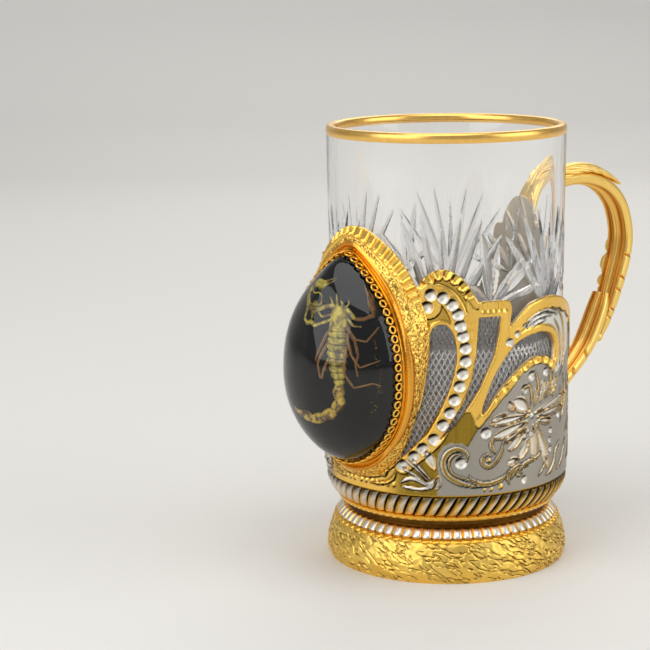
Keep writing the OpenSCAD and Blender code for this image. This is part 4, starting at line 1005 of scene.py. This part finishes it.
stone = piece("resin_dome", points, capped(len(dome), DOME_SIDES), "holder", "clear_resin", resin, sharp=30)
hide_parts("cabochon")

# Handle: cast brass, gilded. Ridges and two channels run along its inside, its edges are notched like
# a leaf, and a leaf lies on the crest as a thumb rest. The strap is brazed into the arm and the wall.
def in_handle(p):
    """Place in the handle's plane, thickness and width from shares of its run, height and section."""
    p = np.asarray(p, float)
    return np.stack([36 + 45.8 * p[:, 0], 35.27 + 61.88 * p[:, 1], 4.6 * p[:, 2], 8.6 * p[:, 3]], -1)


def cast_bar(shares, channel, notches=(), tabs=()):
    """A bar along a path: ridges and two channels inside, a soft crown outside, edges cut like a leaf."""
    sides = 80
    path = flowing(in_handle(shares), 0.25)
    ahead = np.gradient(path[:, :2], axis=0)
    ahead /= np.linalg.norm(ahead, axis=1)[:, None]
    out = np.stack([-ahead[:, 1], ahead[:, 0]], -1)
    a = circle(sides)
    wide = np.sign(np.cos(a)) * np.abs(np.cos(a)) ** 0.8
    thick = np.sign(np.sin(a)) * np.abs(np.sin(a)) ** 0.6
    spread = np.abs(wide)
    cut = np.zeros((len(path), sides))
    for place in notches:
        off = (path[:, 1:2] - place - 1.4 * (1 - spread)) / 0.3
        cut = cut + np.exp(-off ** 2) * ramp(spread, 0.72, 0.95)
    w = wide * path[:, 3:4] / 2 * (1 - 0.14 * cut)
    for place, long, reach in tabs:
        w = w + reach * np.clip(wide, 0, 1) ** 8 * np.exp(-((path[:, 1:2] - place) / long) ** 4)
    inner = ramp(-thick, 0.2, 0.8)
    ridge = np.maximum(1 - ramp(spread, 0.12, 0.26), ramp(spread, 0.7, 0.84))
    ridge = ridge - 0.45 * np.exp(-(wide / 0.05) ** 2) + 0.4 * np.exp(-((spread - 0.5) / 0.06) ** 2)
    crown = 0.25 * ramp(thick, 0.2, 0.8) * np.exp(-(wide / 0.14) ** 2)
    t = (thick * path[:, 2:3] / 2 + channel * inner * (1 - ridge) - crown) * (1 - 0.25 * cut)
    points = np.stack([path[:, :1] + out[:, :1] * t, w, path[:, 1:2] + out[:, 1:] * t], -1)
    ends = points.mean(1)[[0, -1]]
    # Painted shade: the channels and the notches of the edges are marked for darkening
    low = np.clip(inner * (1 - ridge) * 0.9 + 0.9 * cut, 0, 1)
    return (np.vstack([points.reshape(-1, 3), ends]), capped(len(path), sides)), np.r_[low.ravel(), 0, 0]


cast, tree, shader = finish("cast_gilding", "#F3BB46", 1, 0.2)
# Casting skin: soft waves of 1.5 mm under the plating, with finer ones on them
waves = noise(tree, coords(tree), 650, 4)
# Painted shade: orange brown in the channels and notches
gilded = blend(tree, value_of(tree, "recess"), "#FCD474", "#DE8E2C")
feed(tree, shader, gilded, scaled(tree, waves, 0.24, 0.42), bumped(tree, waves, 0.3, 0.00025))

arm_path = [(0.012, 0.96, 0.62, 1.05), (0.05, 1.05, 0.76, 1), (0.17, 1.125, 0.9, 0.95),
            (0.37, 1.15, 0.95, 0.93), (0.57, 1.137, 0.95, 0.93), (0.76, 1.08, 0.95, 0.95),
            (0.885, 0.985, 0.97, 0.98), (0.945, 0.85, 1, 1), (0.932, 0.735, 1.03, 1.02),
            (0.88, 0.62, 1.05, 1), (0.8, 0.475, 0.92, 0.88), (0.75, 0.375, 0.68, 0.64),
            (0.725, 0.32, 0.4, 0.4)]
arm_shape, low = cast_bar(arm_path, 1.1, (80.0, 73.2, 69.4, 63.4, 60.8),
                          ((82.5, 1.6, 0.9), (76.9, 2.2, 1.7), (71.3, 1.4, 1.2)))
tip = in_handle([arm_path[-1]])[0]
ball_line = np.array([(tip[0] - 0.4, 0, tip[1] - h) for h in np.linspace(-1.2, 2.2, 17)])
ball = limb(ball_line, 1.75 * np.sqrt(np.clip(1 - np.linspace(-1, 1, 17) ** 2, 0.004, 1)), 24, 1, (0, 1, 0))
points, faces = gather([arm_shape, ball])
arm = piece("cast_arm", points, faces, "holder", "gilt_brass", cast,
            {"recess": np.r_[low, np.zeros(len(ball[0]))]}, 55)
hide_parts("handle_arm")
strap_path = [(0.745, 0.54, 0.5, 0.7), (0.71, 0.465, 0.85, 0.86), (0.64, 0.365, 0.95, 0.9),
              (0.55, 0.272, 0.92, 0.88), (0.41, 0.18, 0.86, 0.84), (0.2, 0.08, 0.8, 0.9),
              (0.012, 0.02, 0.7, 1.05)]
shape, low = cast_bar(strap_path, 0.9, (50.4, 45.6, 41.5))
strap = piece("cast_strap", *shape, "holder", "gilt_brass", cast, {"recess": low}, 55)
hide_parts("handle_strap")
leaf_path = [(0.1, 1.12, 0.3, 0.35), (0.24, 1.18, 0.4, 0.4), (0.42, 1.206, 0.46, 0.42),
             (0.6, 1.195, 0.46, 0.42), (0.76, 1.15, 0.4, 0.38), (0.89, 1.105, 0.2, 0.2)]
shape, low = cast_bar(leaf_path, 0)
midrib = flowing(in_handle(leaf_path)[:, :2], 0.2)
leaflets = [shape]
for side in (-1, 1):
    for k in range(6):
        root = midrib[int((0.02 + 0.12 * k) * len(midrib))]
        tip = midrib[min(len(midrib) - 1, int((0.3 + 0.135 * k) * len(midrib)))]
        reach = side * (4.4 - 0.42 * k)
        near_x, near_z = 0.6 * root + 0.4 * tip
        far_x, far_z = 0.2 * root + 0.8 * tip
        line = flowing([(root[0], 0.3 * side, root[1] + 0.2), (near_x, 0.55 * reach, near_z + 0.1),
                        (far_x, 0.95 * reach, far_z - 0.9), (tip[0], reach, tip[1] - 1.3)], 0.2)
        share = np.linspace(0, 1, len(line))
        radii = np.interp(share, [0, 0.4, 0.75, 0.93, 1], [0.8, 1.7, 1.75, 1.0, 0.2])
        leaflets.append(limb(line, radii, 24, 0.42, (0, 0, 1)))
points, faces = gather(leaflets)
leaf_rest = piece("thumb_rest_leaf", points, faces, "holder", "gilt_brass", cast,
                  {"recess": np.r_[low, np.zeros(len(points) - len(low))]}, 55)
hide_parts("thumb_leaf")

# Small leaves that curl off the wall on both sides of the handle's root: thin cast blades with a
# waved edge, gilded like the handle
sprigs = []
for side in (-1, 1):
    a = math.radians(17 * side)
    line = flowing([(36.45, 79.6), (36.5, 83.2), (36.6, 86.8), (37.3, 89.8), (38.7, 91.6)], 0.3)
    line = np.stack([line[:, 0] * math.cos(a), line[:, 0] * math.sin(a), line[:, 1]], -1)
    share = np.linspace(0, 1, len(line))
    width = 2.4 * np.sin(math.pi * np.clip(0.1 + 0.85 * share, 0, 1)) ** 0.7
    width *= 1 - 0.18 * np.abs(np.sin(math.pi * share * 3))
    sprigs.append(limb(line, width, 20, 0.16, (math.cos(a), math.sin(a), 0)))
sprig = piece("root_sprigs", *gather(sprigs), "holder", "gilt_brass", cast, sharp=60)
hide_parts("root_leaves")

# Tea glass: a straight tumbler of cut crystal. Wheel-cut facets cover its lower three quarters: a net
# of diamonds below, and above it wide fans of long mitre cuts.
GLASS_R, DIAMONDS, FANS, NET_DEEP, FAN_DEEP = 34.0, 136, 6, 0.35, 0.9
GLASS_UNDER, GLASS_FLOOR = 27.4, 34.4
LONG_CUTS = ((0, 27, 0.9), (5.6, 31, 1.1), (-5.6, 31, 1.1), (11.3, 29.5, 1.3), (-11.3, 29.5, 1.3),
             (17.5, 25, 1.2), (-17.5, 25, 1.2))
SHORT_CUTS = ((-3, 21, 1.5), (2.2, 18, 1.2), (9.9, 13, 1.5), (15.6, 14, 1.3), (20, 6.5, 1.3), (-9, 9, 1.2))
# Each fan's first angle, its foot, and its cuts by sideways reach, rise and half width
fan_parts = ((-138, 74, LONG_CUTS), (-114, 79, SHORT_CUTS))
fans = [(start + 360 / FANS * k, low_end, *fan_cut) for k in range(FANS)
        for start, low_end, fan_cuts in fan_parts for fan_cut in fan_cuts]
turn = circle(1088)[None, :]
side_z = np.r_[np.arange(28.5, 68, 0.27), np.arange(68, 107, 0.35), np.linspace(107.5, 125.8, 12)][:, None]
lift, bloom = np.zeros((side_z.size, turn.size)), np.zeros((side_z.size, turn.size))
net = ramp(side_z, 30, 31) * (1 - ramp(side_z, 66, 68))
for way in (-1, 1):
    phase = (turn * DIAMONDS / (2 * math.pi) + way * side_z / 2.9) % 1
    line = net * np.clip(1.3 - np.abs(phase - 0.5) / 0.17, 0, 1)
    lift, bloom = np.minimum(lift, -NET_DEEP * line), np.maximum(bloom, line)
for degrees, low_end, over, rise, half in fans:
    share = np.clip((side_z - low_end) / rise, 0, 1)
    turned_by = (turn - math.radians(degrees) + math.pi) % (2 * math.pi) - math.pi
    off = np.abs(turned_by - share * over / GLASS_R) * GLASS_R * rise / math.hypot(rise, over)
    wide = half * (np.sin(math.pi * share ** 0.8) ** 0.7 + 1e-6) * (share > 0) * (share < 1) + 1e-6
    facet_cut = FAN_DEEP * np.clip(1 - off / wide, 0, 1) * np.minimum(1, wide / half)
    lift, bloom = np.minimum(lift, -facet_cut), np.maximum(bloom, np.minimum(facet_cut, 0.4))
lift = lift + 0.5 * np.clip((side_z - 78) / 48, 0, 1)
outside = lathe(np.c_[np.full(side_z.size, GLASS_R), side_z[:, 0]], turn, lift)
bottom = [(0.4, GLASS_UNDER), (31.6, GLASS_UNDER), (32.6, 27.6), (33.4, 28.0)]
lip_in = [(34.45, 126.2), (34.2, 126.7), (33.7, 126.98), (33.3, 127.0), (32.9, 126.98), (32.4, 126.7),
          (32.15, 126.2), (32.1, 125.6)]
inside = [(31.83, 100), (31.6, 78), (31.6, 60), (31.6, 38.2), (31.2, 36.4), (29.2, 34.6), (14, GLASS_FLOOR),
          (0.4, GLASS_FLOOR)]
rings = np.concatenate([lathe(bottom, turn), outside, lathe(lip_in, turn), lathe(inside, turn)])
points = np.vstack([rings.reshape(-1, 3), [[0, 0, GLASS_UNDER], [0, 0, GLASS_FLOOR]]])
crystal, tree, shader = finish("cut_crystal_glass", "#FFFFFF", 0, 0.0)
shader.inputs["IOR"].default_value = 1.5
# The wheel leaves a fine grey bloom in each cut
ground_cut = value_of(tree, "cut")
tree.links.new(scaled(tree, ground_cut, 1.0, 0.45), shader.inputs["Transmission Weight"])
# Faint waves of 12 mm left by the blowing
feed(tree, shader, roughness=scaled(tree, ground_cut, 0.0, 0.25),
     normal=bumped(tree, noise(tree, coords(tree), 80, 1), 0.05, 0.0004))
cut_marks = np.zeros(len(points))
cut_marks[len(bottom) * turn.size:(len(bottom) + side_z.size) * turn.size] = bloom.ravel()
glass = piece("cut_tumbler", points, capped(len(rings), turn.size), "glass", "crystal_glass", crystal,
              {"cut": cut_marks}, 24)
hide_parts("glass_tumbler")

# Gold band: liquid gold painted over the lip of the glass and fired, a thin film that follows the
# lip on both of its sides
fired, tree, shader = finish("fired_gold", "#F6C868", 1, 0.26)
feed(tree, shader, blend(tree, noise(tree, coords(tree), 600, 2), "#FAD07A", "#F0B858"))
band_line = [(34.5, 124.3), (34.6, 124.4), (34.62, 125.8), (34.52, 126.4), (34.25, 126.85), (33.7, 127.08),
             (33.3, 127.1), (32.8, 127.06), (32.35, 126.8), (32.05, 126.3), (32.0, 125.6), (32.0, 125.3),
             (32.08, 125.2), (32.1, 125.6), (32.15, 126.2), (32.4, 126.7), (32.9, 126.98), (33.3, 127.0),
             (33.7, 126.98), (34.2, 126.7), (34.45, 126.2), (34.5, 125.6)]
turn = circle(360)[None, :]
rim = piece("fired_gold_band", lathe(band_line, turn), quads(len(band_line), turn.size, True), "glass",
            "fired_gold", fired, sharp=50)
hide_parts("gilt_rim")

# Studio: a pale floor that sweeps up behind, and soft lamps from the left, the right, above and
# behind. Sizes here are in metres.
FLOOR_SIDE = 3.5
away_way, side_way = Vector((0.669, 0.743, 0)), Vector((0.743, -0.669, 0))
sweep = ((-3.5, 0), (0.6, 0), (1.0, 0), (1.15, 0.03), (1.28, 0.12), (1.35, 0.3), (1.36, 1.6))
paper, tree, shader = finish("pale_paper", "#E6E3DD", 0, 0.9)
floor_points = []
for away_m, rise in sweep:
    for side_m in (-FLOOR_SIDE, FLOOR_SIDE):
        p = away_way * away_m + side_way * side_m
        floor_points.append((p.x, p.y, rise))
strips = [[2 * k, 2 * k + 1, 2 * k + 3, 2 * k + 2] for k in range(len(sweep) - 1)]
floor_mesh = bpy.data.meshes.new("paper_sweep")
floor_mesh.from_pydata(floor_points, [], strips)
floor_mesh.shade_smooth()
floor_mesh.materials.append(paper)
floor = bpy.data.objects.new("paper_sweep", floor_mesh)
bpy.context.scene.collection.objects.link(floor)

world = bpy.data.worlds.new("studio")
bpy.context.scene.world = world
world.use_nodes = True
world.node_tree.nodes["Background"].inputs["Color"].default_value = srgb("#E4E6EA")
world.node_tree.nodes["Background"].inputs["Strength"].default_value = 0.55
for name, place, size, power in (("left_softbox", (-0.95, 0.05, 0.5), 0.9, 4.2),
                                 ("right_softbox", (0.5, -0.95, 0.5), 0.9, 4.0),
                                 ("top_softbox", (-0.25, -0.2, 1.1), 0.9, 4.6),
                                 ("back_softbox", (0.7, 0.55, 0.7), 0.7, 2.2)):
    lamp = bpy.data.objects.new(name, bpy.data.lights.new(name, "AREA"))
    bpy.context.scene.collection.objects.link(lamp)
    lamp.data.size = size
    lamp.data.energy = power
    lamp.location = place
    lamp.rotation_euler = (Vector((0, 0, 0.06)) - Vector(place)).to_track_quat("-Z", "Y").to_euler()
bpy.context.scene.view_settings.view_transform = "Standard"
